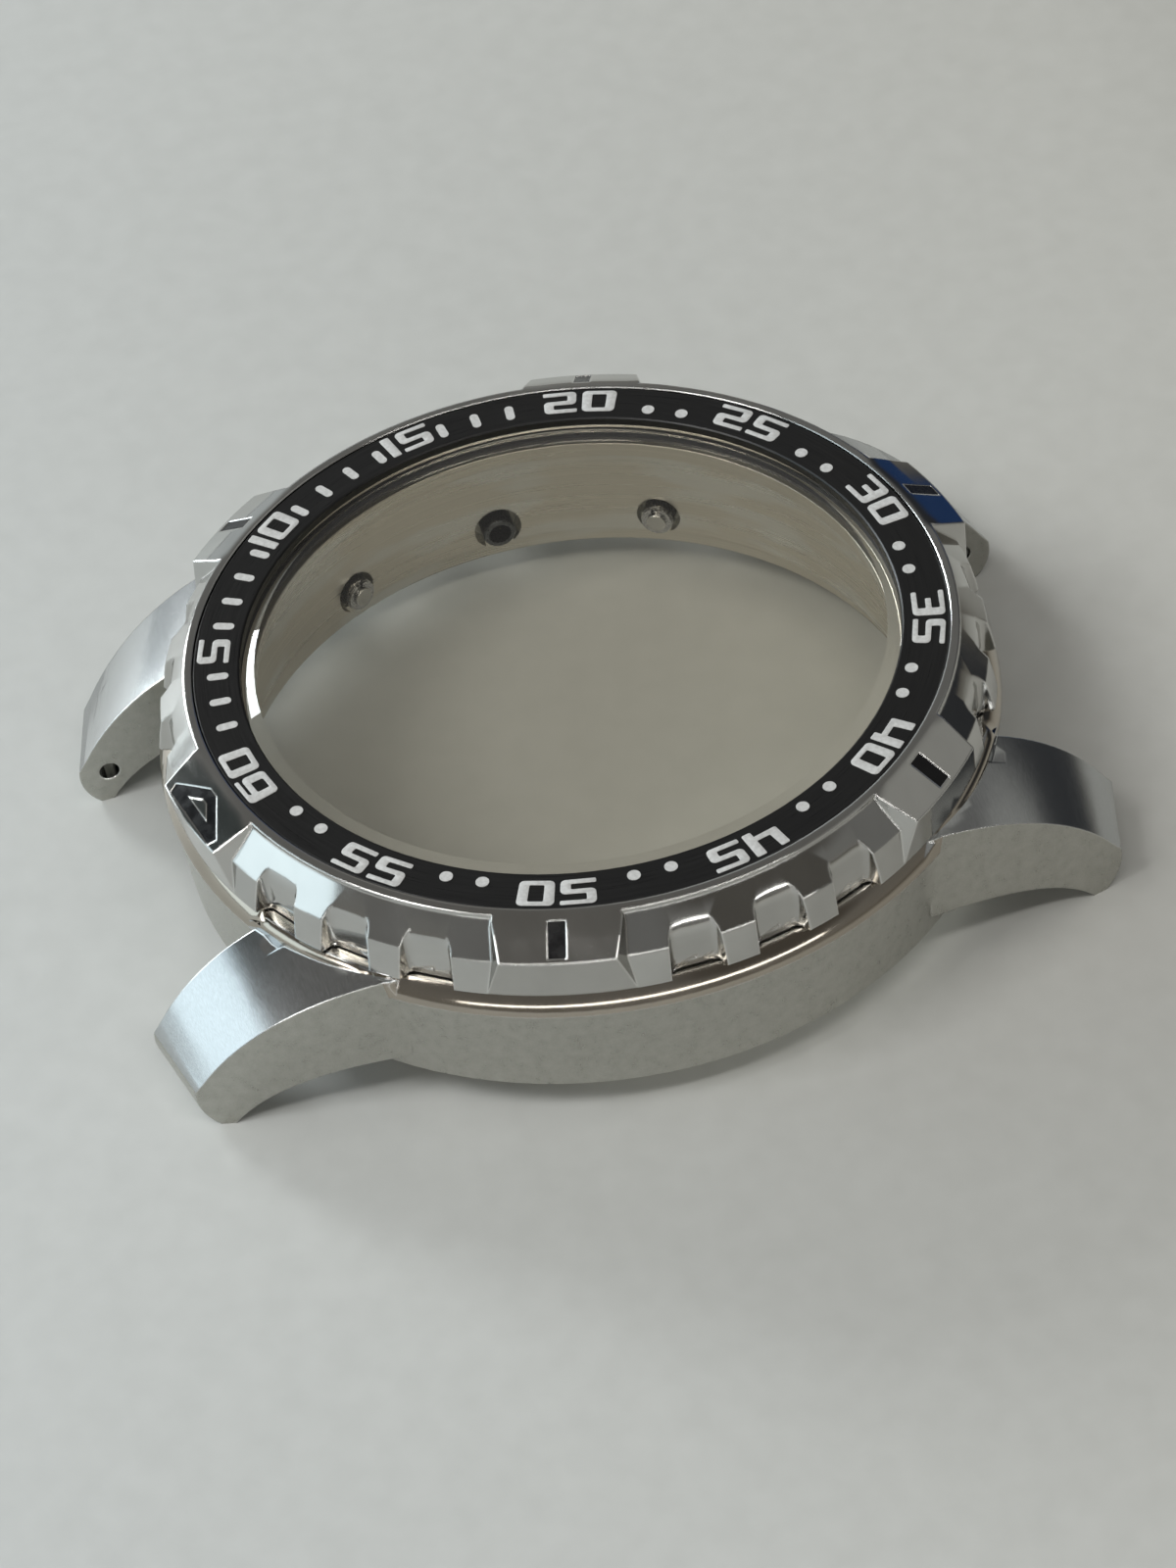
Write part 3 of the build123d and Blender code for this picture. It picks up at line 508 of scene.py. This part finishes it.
def crystal_finish(name):
    """Clear mineral crystal; light passes through it to the floor without a black shadow."""
    f = Finish(name, IOR=1.52, Transmission_Weight=1.0)
    smear = f.noise(f.place((0.5, 0.8, 0.5)), scale=0.5, detail=4.0)
    f.feed(Roughness=f.spread(smear, 0.45, 0.85, 0.0, 0.02))
    # Its warm grey tint is partly the glass and partly painted shade that darkens the inside of the case
    f.shader.inputs["Base Color"].default_value = (0.90, 0.885, 0.84, 1)
    clear = f.node("BsdfTransparent", {"Color": (0.925, 0.915, 0.88, 1)})
    # Rays from the camera, and those that came through glass, meet glass. Shadow rays and light bounced
    # off other pieces pass straight through, tinted a little, partly as painted shade
    path = f.node("LightPath").outputs
    bounced = f.math("MAXIMUM", path["Is Diffuse Ray"], path["Is Glossy Ray"])
    inside = f.math("MULTIPLY", bounced, f.math("SUBTRACT", 1.0, path["Is Transmission Ray"]))
    straight = f.math("MAXIMUM", path["Is Shadow Ray"], inside)
    mix = f.node("MixShader", {0: straight, 1: f.shader.outputs[0], 2: clear.outputs[0]})
    f.tree.links.new(mix.outputs[0], f.output.inputs["Surface"])
    return f.material


def soft_black(name, colour, roughness):
    """Rubber, nylon and film: dull, with a fine moulded grain."""
    f = Finish(name)
    grain = f.noise(f.place(), scale=8.0, detail=3.0)
    tone = f.mottle(grain, toned(colour, 0.7), colour)
    rough = f.vary(grain, roughness * 0.85, roughness * 1.15)
    return f.feed(Base_Color=tone, Roughness=rough, Normal=f.bump(grain, 0.01, 0.3))


def table_finish(name):
    """Pale table top with a barely visible grain, with painted light: cooler near the window and painted
    shade far from it.
    """
    f = Finish(name)
    grain = f.noise(f.place(), scale=0.6, detail=4.0)
    across = f.node("SeparateXYZ", {0: f.place()}).outputs[1]
    cool = f.mottle(grain, (0.525, 0.54, 0.53), (0.55, 0.565, 0.555))
    warm = f.mottle(grain, (0.525, 0.52, 0.485), (0.55, 0.545, 0.51))
    # Painted light: cool near the window, warmer further off, then painted shade that darkens the far side
    drift = f.blend(f.spread(across, TABLE_NEAR_WINDOW, TABLE_FAR_SIDE, 0, 1), cool, warm)
    tone = f.blend(f.spread(across, TABLE_FAR_SIDE, TABLE_DUSK, 0, 1), drift, (0.24, 0.225, 0.195, 1))
    rough = f.vary(grain, 0.5, 0.6)
    return f.feed(Base_Color=tone, Roughness=rough, Normal=f.bump(grain, 0.01, 0.2))


# Air and floor
def studio_air():
    """Soft light from all round, with broad brighter and darker walls that polished steel picks up."""
    world = bpy.data.worlds.new("studio_air")
    bpy.context.scene.world = world
    world.use_nodes = True
    tree = world.node_tree
    tree.nodes.clear()
    link = tree.links.new

    def add(kind, **settings):
        return add_node(tree, "ShaderNode" + kind, **settings)

    look = add("TexCoord").outputs["Generated"]
    parts = add("SeparateXYZ")
    link(look, parts.inputs[0])
    ramp = add("ValToRGB")
    link(parts.outputs[2], ramp.inputs[0])
    ramp.color_ramp.interpolation = "EASE"
    # A new ramp has two stops already
    for _ in AIR_STOPS[2:]:
        ramp.color_ramp.elements.new(0.5)
    for element, (position, colour) in zip(ramp.color_ramp.elements, AIR_STOPS):
        element.position = position
        element.color = (*colour, 1)
    colour_so_far = ramp.outputs[0]
    for towards, inner, outer, colour in SOFT_WALLS:
        near = add("VectorMath", operation="DOT_PRODUCT")
        link(look, near.inputs[0])
        near.inputs[1].default_value = Vector(towards).normalized()
        edge = add("MapRange", interpolation_type="SMOOTHSTEP")
        link(near.outputs["Value"], edge.inputs["Value"])
        edge.inputs["From Min"].default_value = cos(radians(outer))
        edge.inputs["From Max"].default_value = cos(radians(inner))
        mix = add("Mix", data_type="RGBA")
        link(edge.outputs[0], mix.inputs[MIX_SHARE])
        link(colour_so_far, mix.inputs[MIX_FIRST])
        mix.inputs[MIX_SECOND].default_value = (*colour, 1)
        colour_so_far = mix.outputs[MIX_RESULT]
    background = add("Background")
    output = add("OutputWorld")
    link(colour_so_far, background.inputs["Color"])
    link(background.outputs[0], output.inputs["Surface"])


def make_floor():
    """The table top under the case, for the picture only."""
    sides = ((-1, -1), (1, -1), (1, 1), (-1, 1))
    corners = [(x * TABLE_REACH * MM, y * TABLE_REACH * MM, CASE_FOOT * MM) for x, y in sides]
    mesh = bpy.data.meshes.new("table_top")
    mesh.from_pydata(corners, [], [(0, 1, 2, 3)])
    table = bpy.data.objects.new("table_top", mesh)
    bpy.context.scene.collection.objects.link(table)
    mesh.materials.append(table_finish("pale_table"))


# Mesh helpers
def new_piece(name, mesh, body, slot, *materials):
    """A piece of the object: its mesh, the body that it rides on and its materials; the slot is not used."""
    piece = bpy.data.objects.new(name, mesh)
    bpy.context.scene.collection.objects.link(piece)
    mesh.materials.clear()
    for material in materials:
        mesh.materials.append(material)
    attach(piece, body)
    return piece


def merged_mesh(node, name):
    """A copy of a node's mesh with its doubled points joined and its flat faces made whole."""
    source = bmesh.new()
    source.from_mesh(nodes[node].data)
    bmesh.ops.remove_doubles(source, verts=source.verts, dist=JOIN_DISTANCE * MM)
    bmesh.ops.dissolve_limit(source, angle_limit=radians(FLAT_ANGLE), verts=source.verts, edges=source.edges)
    source.verts.index_update()
    points = [vertex.co[:] for vertex in source.verts]
    faces = [[vertex.index for vertex in face.verts] for face in source.faces]
    source.free()
    mesh = bpy.data.meshes.new(name)
    mesh.from_pydata(points, [], faces)
    return mesh


def smooth_by_angle(mesh, angle):
    """Smooth shading, but for edges that turn by more degrees than the angle."""
    mesh.polygons.foreach_set("use_smooth", [True] * len(mesh.polygons))
    mesh.set_sharp_from_angle(angle=radians(angle))


def coat(node, material):
    """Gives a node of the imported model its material."""
    mesh = nodes[node].data
    if mesh.materials:
        for index in range(len(mesh.materials)):
            mesh.materials[index] = material
    else:
        mesh.materials.append(material)


# The case and the bezel. The case's finishes are numbered in the order of its materials
SATIN, BRUSHED, POLISHED, TURNED = range(4)


def on_lug(x, y):
    """Whether a place on the lip, in millimetres, lies within a lug."""
    return abs(x) > LUG_INNER_FACE and degrees(atan2(abs(y), abs(x))) > LUG_FLANK_ANGLE


def reshape_lip(mesh):
    """Draws the lip's foot lower, and its rounding between the lugs as a flatter and wider arc."""
    centre, height, size = LIP_ROUND
    arc_centre, arc_height, arc_size = LIP_ARC
    for vertex in mesh.vertices:
        x, y, z = vertex.co / MM
        radius = hypot(x, y)
        if abs(z - LIP_FOOT) < LIP_TOLERANCE and LIP_RADII[0] < radius < LIP_RADII[1]:
            vertex.co.z -= LIP_REACH * MM
        out, up = radius - centre, z - height
        beyond = out > -LIP_TOLERANCE and up > -LIP_TOLERANCE
        if beyond and abs(hypot(out, up) - size) < LIP_ROUND_TOLERANCE and not on_lug(x, y):
            share = atan2(max(out, 0), max(up, 0)) / (pi / 2)
            angle = radians(LIP_ARC_START + share * (LIP_ARC_END - LIP_ARC_START))
            reach = (arc_centre + arc_size * sin(angle)) / radius
            vertex.co = Vector((x * reach, y * reach, arc_height + arc_size * cos(angle))) * MM


def case_zone(face):
    """Which of the four finishes a face of the case has, from where it lies and the way it faces."""
    x, y, z = face.center / MM
    radius = hypot(x, y)
    n = face.normal
    outward = (n.x * x + n.y * y) / max(radius, LEAST_RADIUS)
    whole_inside, inside_top = INSIDE_HEIGHTS
    if radius < INSIDE_RADIUS and z < inside_top and (outward < INWARD or z < whole_inside):
        return TURNED
    if radius < SHELF_RADIUS and z > SHELF_HEIGHT and (n.z > UPWARD or radius < NECK_RADIUS):
        return POLISHED
    on_lip = z > LIP_LOWEST and LIP_START_RADIUS < radius < LIP_RADII[1]
    if on_lip and outward > OUTWARD and abs(n.z) < LEVEL:
        centre, height, size = LIP_ROUND
        beside_round = hypot(radius - centre, z - height) > size + LIP_ROUND_TOLERANCE
        return BRUSHED if on_lug(x, y) and beside_round else POLISHED
    if n.z > LUG_TOP_SLOPE and radius > LUG_TOP_RADIUS and abs(x) > LUG_TOP_SIDE:
        return BRUSHED
    return SATIN


def turn_lug_tops(mesh):
    """Leans the normals of the lug tops outward, as on a case whose lugs are turned round its axis."""
    kept = [Vector(corner.vector) for corner in mesh.corner_normals]
    for face in mesh.polygons:
        if face.material_index != BRUSHED:
            continue
        for loop in face.loop_indices:
            place = mesh.vertices[mesh.loops[loop].vertex_index].co
            normal = kept[loop]
            slope = hypot(normal.x, normal.y)
            away = Vector((place.x, place.y, 0)).normalized()
            straight = Vector((normal.x, normal.y, 0)) / max(slope, LEAST_SLOPE)
            mixed = (away * TURNED_SHARE + straight * (1 - TURNED_SHARE)).normalized() * slope
            kept[loop] = Vector((mixed.x, mixed.y, normal.z)).normalized()
    mesh.normals_split_custom_set(kept)


def make_case():
    """The middle case, with its lip reshaped and its four finishes."""
    mesh = merged_mesh("case_middle", "case_shell")
    reshape_lip(mesh)
    piece = new_piece(
        "case_shell", mesh, "case", "case_steel",
        satin_steel("satin_case_steel"),
        brushed_steel("brushed_lug_steel"),
        # Its darker, brownish tone is a painted reflection
        polished_steel("polished_case_steel", colour=(0.44, 0.395, 0.335)),
        turned_steel("turned_case_steel"))
    for face in mesh.polygons:
        face.material_index = case_zone(face)
    smooth_by_angle(mesh, CASE_EDGE_ANGLE)
    turn_lug_tops(mesh)
    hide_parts("case_middle")


def make_bezel():
    """The bezel ring, with the foot of its outer wall drawn lower."""
    mesh = merged_mesh("bezel_ring", "bezel_shell")
    skirt = [vertex for vertex in mesh.vertices if hypot(vertex.co.x, vertex.co.y) > SKIRT_RADIUS * MM]
    foot = min(vertex.co.z for vertex in skirt)
    for vertex in skirt:
        if vertex.co.z < foot + SKIRT_BAND * MM:
            vertex.co.z -= SKIRT_DROP * MM
    piece = new_piece("bezel_shell", mesh, "bezel", "bezel_steel", polished_steel("polished_bezel_steel"))
    smooth_by_angle(mesh, BEZEL_EDGE_ANGLE)
    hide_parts("bezel_ring")


# Printed marks
def on_insert(minute, radius, height):
    """Point at a minute, a radius and a height above the insert's face."""
    angle = radians(90 + BEZEL_TURN - MINUTE * minute)
    return Vector((radius * cos(angle), radius * sin(angle), INSERT_TOP + height)) * MM


def round_corner(corner, before, after, reach_x, reach_y):
    """Points of a quarter of an ellipse that replaces a corner of an outline."""
    points = []
    for step in range(DIGIT_CORNER_STEPS + 1):
        t = step / DIGIT_CORNER_STEPS * pi / 2
        towards_before, towards_after = 1 - sin(t), 1 - cos(t)
        x = corner[0] + before[0] * reach_x * towards_before + after[0] * reach_x * towards_after
        y = corner[1] + before[1] * reach_y * towards_before + after[1] * reach_y * towards_after
        points.append((x, y))
    return points


def outline(points, radii):
    """An outline with rounded corners: each point has its own radius, as a share of the digit's height."""
    made = []
    count = len(points)
    for index, (point, radius) in enumerate(zip(points, radii)):
        if radius == 0:
            made.append(point)
            continue
        towards = []
        for other in (points[index - 1], points[(index + 1) % count]):
            dx, dy = other[0] - point[0], other[1] - point[1]
            size = hypot(dx, dy)
            towards.append((dx / size, dy / size))
        made += round_corner(point, towards[0], towards[1], radius * CORNER_SPREAD, radius)
    return made


def digit_outlines(digit):
    """Outlines of one squarish digit: edge first, then holes."""
    big, small = BIG_CORNER, SMALL_CORNER
    s, b = STEM, BEAM
    if digit == "0":
        edge = outline([(0, 0), (1, 0), (1, 1), (0, 1)], [big] * 4)
        hole = outline([(s, b), (1 - s, b), (1 - s, 1 - b), (s, 1 - b)], [small] * 4)
        return [edge, hole]
    if digit == "1":
        return [outline([(0, 0), (s, 0), (s, 1), (0, 1)], [small] * 4)]
    if digit == "2":
        return [[(1 - x, y) for x, y in reversed(digit_outlines("5")[0])]]
    if digit == "3":
        edge = outline(
            [(0.0, 0), (1, 0), (1, 0.50), (1, 1), (0.02, 1), (0.02, 1 - b), (1 - s, 1 - b),
             (1 - s, 0.59), (0.30, 0.59), (0.30, 0.41), (1 - s, 0.41), (1 - s, b), (0.0, b)],
            [small, big, 0, big, small, small, small, small, small, small, small, small, small])
        return [edge]
    if digit == "4":
        edge = outline(
            [(1 - s, 0), (1, 0), (1, 1), (1 - s, 1), (1 - s, 0.41), (s, 0.41), (s - 0.03, 1), (0.0, 1),
             (0, 0.22), (1 - s, 0.22)],
            [small, small, small, small, small, small, small, small, small * 1.4, 0])
        return [edge]
    if digit == "5":
        edge = outline(
            [(0, 0), (1, 0), (1, 0.57), (s, 0.57), (s, 1 - b), (1, 1 - b), (1, 1), (0.03, 1),
             (0.03, 0.39), (1 - s, 0.39), (1 - s, b), (0, b)],
            [small, big, big, small, small, small, small, big, big, small, small, small])
        return [edge]
    # The numerals 5 to 60 in fives hold only one other digit, the 6
    edge = outline(
        [(0, 0), (1, 0), (1, 0.76), (0.30, 0.76), (0.34, 1 - 0.14), (0.96, 1 - 0.14), (0.96, 1), (0, 1)],
        [big, big, big, small, small, small, small, big])
    hole = outline([(s, b), (1 - s, b), (1 - s, 0.57), (s, 0.57)], [small] * 4)
    return [edge, hole]


def print_slab(outlines):
    """One printed mark, laid flat: its face, with a sloped edge round it and round its holes."""
    curve = bpy.data.curves.new("mark_outline", "CURVE")
    curve.dimensions = "2D"
    curve.fill_mode = "BOTH"
    for points in outlines:
        spline = curve.splines.new("POLY")
        spline.points.add(len(points) - 1)
        spline.use_cyclic_u = True
        for point, (x, y) in zip(spline.points, points):
            point.co = (x, y, 0, 1)
    curve.extrude = PRINT_RISE / 2
    curve.bevel_depth = PRINT_EDGE / 2
    curve.bevel_resolution = 1
    curve.offset = -PRINT_EDGE / 2
    holder = bpy.data.objects.new("mark_outline", curve)
    bpy.context.scene.collection.objects.link(holder)
    bpy.context.view_layer.update()
    mesh = bpy.data.meshes.new_from_object(holder)
    bpy.data.objects.remove(holder)
    bpy.data.curves.remove(curve)
    slab = bmesh.new()
    slab.from_mesh(mesh)
    bpy.data.meshes.remove(mesh)
    bmesh.ops.remove_doubles(slab, verts=slab.verts, dist=DIGIT_JOIN_DISTANCE)
    return slab


def make_numerals():
    """The numerals 5 to 60, bent round the insert, tops outward."""
    whole = bmesh.new()
    minute_length = radians(MINUTE) * (MARK_BASE + NUMERAL_HEIGHT / 2)
    full_width = DIGIT_WIDTH * minute_length
    for number in range(5, 65, 5):
        text = str(number)
        widths = [DIGIT_WIDTH * (STEM if letter == "1" else 1.0) for letter in text]
        start = -(sum(widths) + DIGIT_GAP * (len(text) - 1)) / 2
        for letter, width in zip(text, widths):
            slab = print_slab([
                [(x * full_width, y * NUMERAL_HEIGHT) for x, y in points]
                for points in digit_outlines(letter)])
            for vertex in slab.verts:
                minute = number + start + vertex.co.x / minute_length
                height = -PRINT_SINK
                if vertex.co.z > 0:
                    height = PRINT_RISE + vertex.co.z - PRINT_RISE / 2 - PRINT_EDGE / 2
                vertex.co = on_insert(minute, MARK_BASE + vertex.co.y, height)
            part = bpy.data.meshes.new("digit")
            slab.to_mesh(part)
            slab.free()
            whole.from_mesh(part)
            bpy.data.meshes.remove(part)
            start += width + DIGIT_GAP
    bmesh.ops.recalc_face_normals(whole, faces=whole.faces)
    mesh = bpy.data.meshes.new("printed_numerals")
    whole.to_mesh(mesh)
    whole.free()
    smooth_by_angle(mesh, PRINT_EDGE_ANGLE)
    return mesh


def marks_tree():
    """Flat printed marks with rounded ends: one stands on each point, turned away from the case's axis."""
    tree = bpy.data.node_groups.new("minute_marks", "GeometryNodeTree")
    sockets = tree.interface
    sockets.new_socket("Geometry", in_out="INPUT", socket_type="NodeSocketGeometry")
    for name in ("Width", "Length", "Corner", "Rise"):
        sockets.new_socket(name, in_out="INPUT", socket_type="NodeSocketFloat")
    sockets.new_socket("Finish", in_out="INPUT", socket_type="NodeSocketMaterial")
    sockets.new_socket("Geometry", in_out="OUTPUT", socket_type="NodeSocketGeometry")
    link = tree.links.new

    def add(kind, **settings):
        return add_node(tree, kind, **settings)

    given = add("NodeGroupInput")
    edge = add("GeometryNodeCurvePrimitiveQuadrilateral", mode="RECTANGLE")
    link(given.outputs["Width"], edge.inputs["Width"])
    link(given.outputs["Length"], edge.inputs["Height"])
    corner = add("GeometryNodeFilletCurve", mode="POLY")
    link(edge.outputs[0], corner.inputs["Curve"])
    corner.inputs["Count"].default_value = MARK_CORNER_STEPS
    corner.inputs["Limit Radius"].default_value = True
    link(given.outputs["Corner"], corner.inputs["Radius"])
    face = add("GeometryNodeFillCurve", mode="NGONS")
    link(corner.outputs[0], face.inputs["Curve"])
    raised = add("GeometryNodeExtrudeMesh", mode="FACES")
    link(face.outputs[0], raised.inputs["Mesh"])
    link(given.outputs["Rise"], raised.inputs["Offset Scale"])
    under = add("GeometryNodeFlipFaces")
    link(face.outputs[0], under.inputs["Mesh"])
    both = add("GeometryNodeJoinGeometry")
    link(under.outputs[0], both.inputs[0])
    link(raised.outputs[0], both.inputs[0])
    closed = add("GeometryNodeMergeByDistance")
    link(both.outputs[0], closed.inputs["Geometry"])
    closed.inputs["Distance"].default_value = JOIN_DISTANCE * MM
    where = add("GeometryNodeInputPosition")
    turned = add("FunctionNodeAlignRotationToVector", axis="Y", pivot_axis="Z")
    link(where.outputs[0], turned.inputs["Vector"])
    spread = add("GeometryNodeInstanceOnPoints")
    link(given.outputs["Geometry"], spread.inputs["Points"])
    link(closed.outputs[0], spread.inputs["Instance"])
    link(turned.outputs[0], spread.inputs["Rotation"])
    real = add("GeometryNodeRealizeInstances")
    link(spread.outputs[0], real.inputs[0])
    painted = add("GeometryNodeSetMaterial")
    link(real.outputs[0], painted.inputs["Geometry"])
    link(given.outputs["Finish"], painted.inputs["Material"])
    result = add("NodeGroupOutput")
    link(painted.outputs[0], result.inputs[0])
    return tree


def grow(name, tree, points, **values):
    """The plain mesh that a tree makes from loose points."""
    seeds = bpy.data.meshes.new(name + "_seeds")
    seeds.from_pydata(points, [], [])
    holder = bpy.data.objects.new(name + "_seeds", seeds)
    bpy.context.scene.collection.objects.link(holder)
    modifier = holder.modifiers.new("grow", "NODES")
    modifier.node_group = tree
    for item in tree.interface.items_tree:
        if item.item_type == "SOCKET" and item.in_out == "INPUT" and item.name in values:
            modifier[item.identifier] = values[item.name]
    bpy.context.view_layer.update()
    made = bpy.data.meshes.new_from_object(holder.evaluated_get(bpy.context.evaluated_depsgraph_get()))
    made.name = name
    bpy.data.objects.remove(holder)
    bpy.data.meshes.remove(seeds)
    return made


def make_marks(finish):
    """Bars between the first numerals and dots between the others."""
    tree = marks_tree()
    bar_ring = MARK_BASE + BAR_HEIGHT / 2
    minute_length = radians(MINUTE) * bar_ring
    width = BAR_WIDTH * minute_length * MM
    across = 2 * DOT_RADIUS * MM
    rise = (PRINT_RISE + PRINT_SINK) * MM
    bar_points = [on_insert(minute, bar_ring, -PRINT_SINK) for minute in BAR_MINUTES]
    dot_points = [on_insert(minute, DOT_RING, -PRINT_SINK) for minute in DOT_MINUTES]
    bars = grow("minute_bars", tree, bar_points, Width=width, Length=BAR_HEIGHT * MM,
                Corner=width * BAR_CORNER_SHARE, Rise=rise, Finish=finish)
    dots = grow("minute_dots", tree, dot_points, Width=across, Length=across,
                Corner=DOT_RADIUS * DOT_CORNER_SHARE * MM, Rise=rise, Finish=finish)
    for name, mesh in (("printed_bars", bars), ("printed_dots", dots)):
        smooth_by_angle(mesh, PRINT_EDGE_ANGLE)
        new_piece(name, mesh, "bezel", "insert_black", finish)


# Crown tube and springs
def tube_profile():
    """Points of the tube's section: place along X, radius, and how far the thread has risen there."""
    tail, mouth = TUBE_LOW.x, TUBE_HIGH.x
    thread_start = mouth - THREAD_LENGTH
    root_start = thread_start - TUBE_ROOT_LENGTH
    core = THREAD_RADIUS - THREAD_DEPTH
    run = THREAD_LENGTH - 2 * THREAD_MARGIN
    profile = [
        (tail, TUBE_BORE, 0),
        (tail, TUBE_TAIL - TUBE_TAIL_CHAMFER, 0),
        (tail + TUBE_TAIL_CHAMFER, TUBE_TAIL, 0),
        (root_start, TUBE_TAIL, 0),
        (root_start, TUBE_ROOT, 0),
        (thread_start, TUBE_ROOT, 0),
        (thread_start, core, 0),
    ]
    steps = int(run / THREAD_PITCH * THREAD_RINGS)
    for step in range(steps + 1):
        share = step / steps
        risen = min(1.0, share * THREAD_FADE, (1 - share) * THREAD_FADE)
        profile.append((thread_start + THREAD_MARGIN + share * run, core, risen))
    profile += [
        (mouth, core - TUBE_MOUTH_CHAMFER, 0),
        (mouth, TUBE_MOUTH, 0),
        (mouth - TUBE_MOUTH_DEPTH, TUBE_MOUTH, 0),
        (mouth - TUBE_MOUTH_DEPTH, TUBE_BORE, 0),
    ]
    return profile


def make_crown_tube():
    """The tube with its bore, and the thread that the crown screws on to."""
    profile = tube_profile()
    points = []
    for x, radius, risen in profile:
        for side in range(TUBE_SIDES):
            angle = side / TUBE_SIDES * tau
            wave = (x / THREAD_PITCH - side / TUBE_SIDES) % 1.0
            reach = radius + risen * THREAD_DEPTH * max(0.0, 1 - abs(wave - 0.5) * THREAD_STEEPNESS)
            points.append((x * MM, reach * sin(angle) * MM, (CROWN_HEIGHT + reach * cos(angle)) * MM))
    faces = []
    for ring in range(len(profile)):
        here, beyond = ring * TUBE_SIDES, (ring + 1) % len(profile) * TUBE_SIDES
        for side in range(TUBE_SIDES):
            after = (side + 1) % TUBE_SIDES
            faces.append((here + side, here + after, beyond + after, beyond + side))
    mesh = bpy.data.meshes.new("threaded_tube")
    mesh.from_pydata(points, [], faces)
    shape = bmesh.new()
    shape.from_mesh(mesh)
    bmesh.ops.recalc_face_normals(shape, faces=shape.faces)
    shape.to_mesh(mesh)
    shape.free()
    smooth_by_angle(mesh, TUBE_EDGE_ANGLE)
    piece = new_piece("threaded_tube", mesh, "case", "tube_brass", tube_finish("tube_brass"))
    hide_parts("crown_tube")


def make_springs(finish):
    """Draws each spring as a smooth copy of its node, riding on the case."""
    for node, joint in SPRINGS.items():
        mesh = merged_mesh(node, f"{node}_coil")
        smooth_by_angle(mesh, SPRING_EDGE_ANGLE)
        piece = new_piece(f"{node}_coil", mesh, "case", "spring_steel", finish)
        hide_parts(node)
        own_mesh(piece)


# Making everything
bpy.context.scene.view_settings.view_transform = "Standard"
make_camera()
make_floor()
studio_air()
for lamp in LAMPS:
    area_lamp(*lamp)

make_case()
make_bezel()
numeral_mesh = make_numerals()
white_print = white_print_finish("white_print")
new_piece("printed_numerals", numeral_mesh, "bezel", "insert_black", white_print)
make_marks(white_print)
make_crown_tube()

coat("bezel_insert", black_insert_finish("black_insert"))
coat("crystal", crystal_finish("clear_crystal"))
black_enamel = black_enamel_finish("black_enamel")
coat("slot_enamel", black_enamel)
coat("triangle_enamel", black_enamel)
coat("crystal_gasket", soft_black("nylon_ring", (0.06, 0.06, 0.065), 0.45))
coat("insert_adhesive", soft_black("adhesive_ring", (0.10, 0.09, 0.07), 0.5))
seal_rubber = soft_black("seal_rubber", (0.02, 0.02, 0.02), 0.6)
for name in ("bezel_gasket", "upper_pusher_gasket", "lower_pusher_gasket"):
    coat(name, seal_rubber)
spring_steel = spun_metal("spring_steel", (0.52, 0.52, 0.53))
make_springs(spring_steel)
for name in ("bezel_retaining_wire", "click_ball", "upper_pusher_clip", "lower_pusher_clip"):
    coat(name, spring_steel)
tube_steel = spun_metal("tube_steel", (0.60, 0.59, 0.57))
button_steel = polished_steel("button_steel", roughness=0.14)
for place in ("upper", "lower"):
    coat(f"{place}_pusher_tube", tube_steel)
    coat(f"{place}_pusher_button", button_steel)
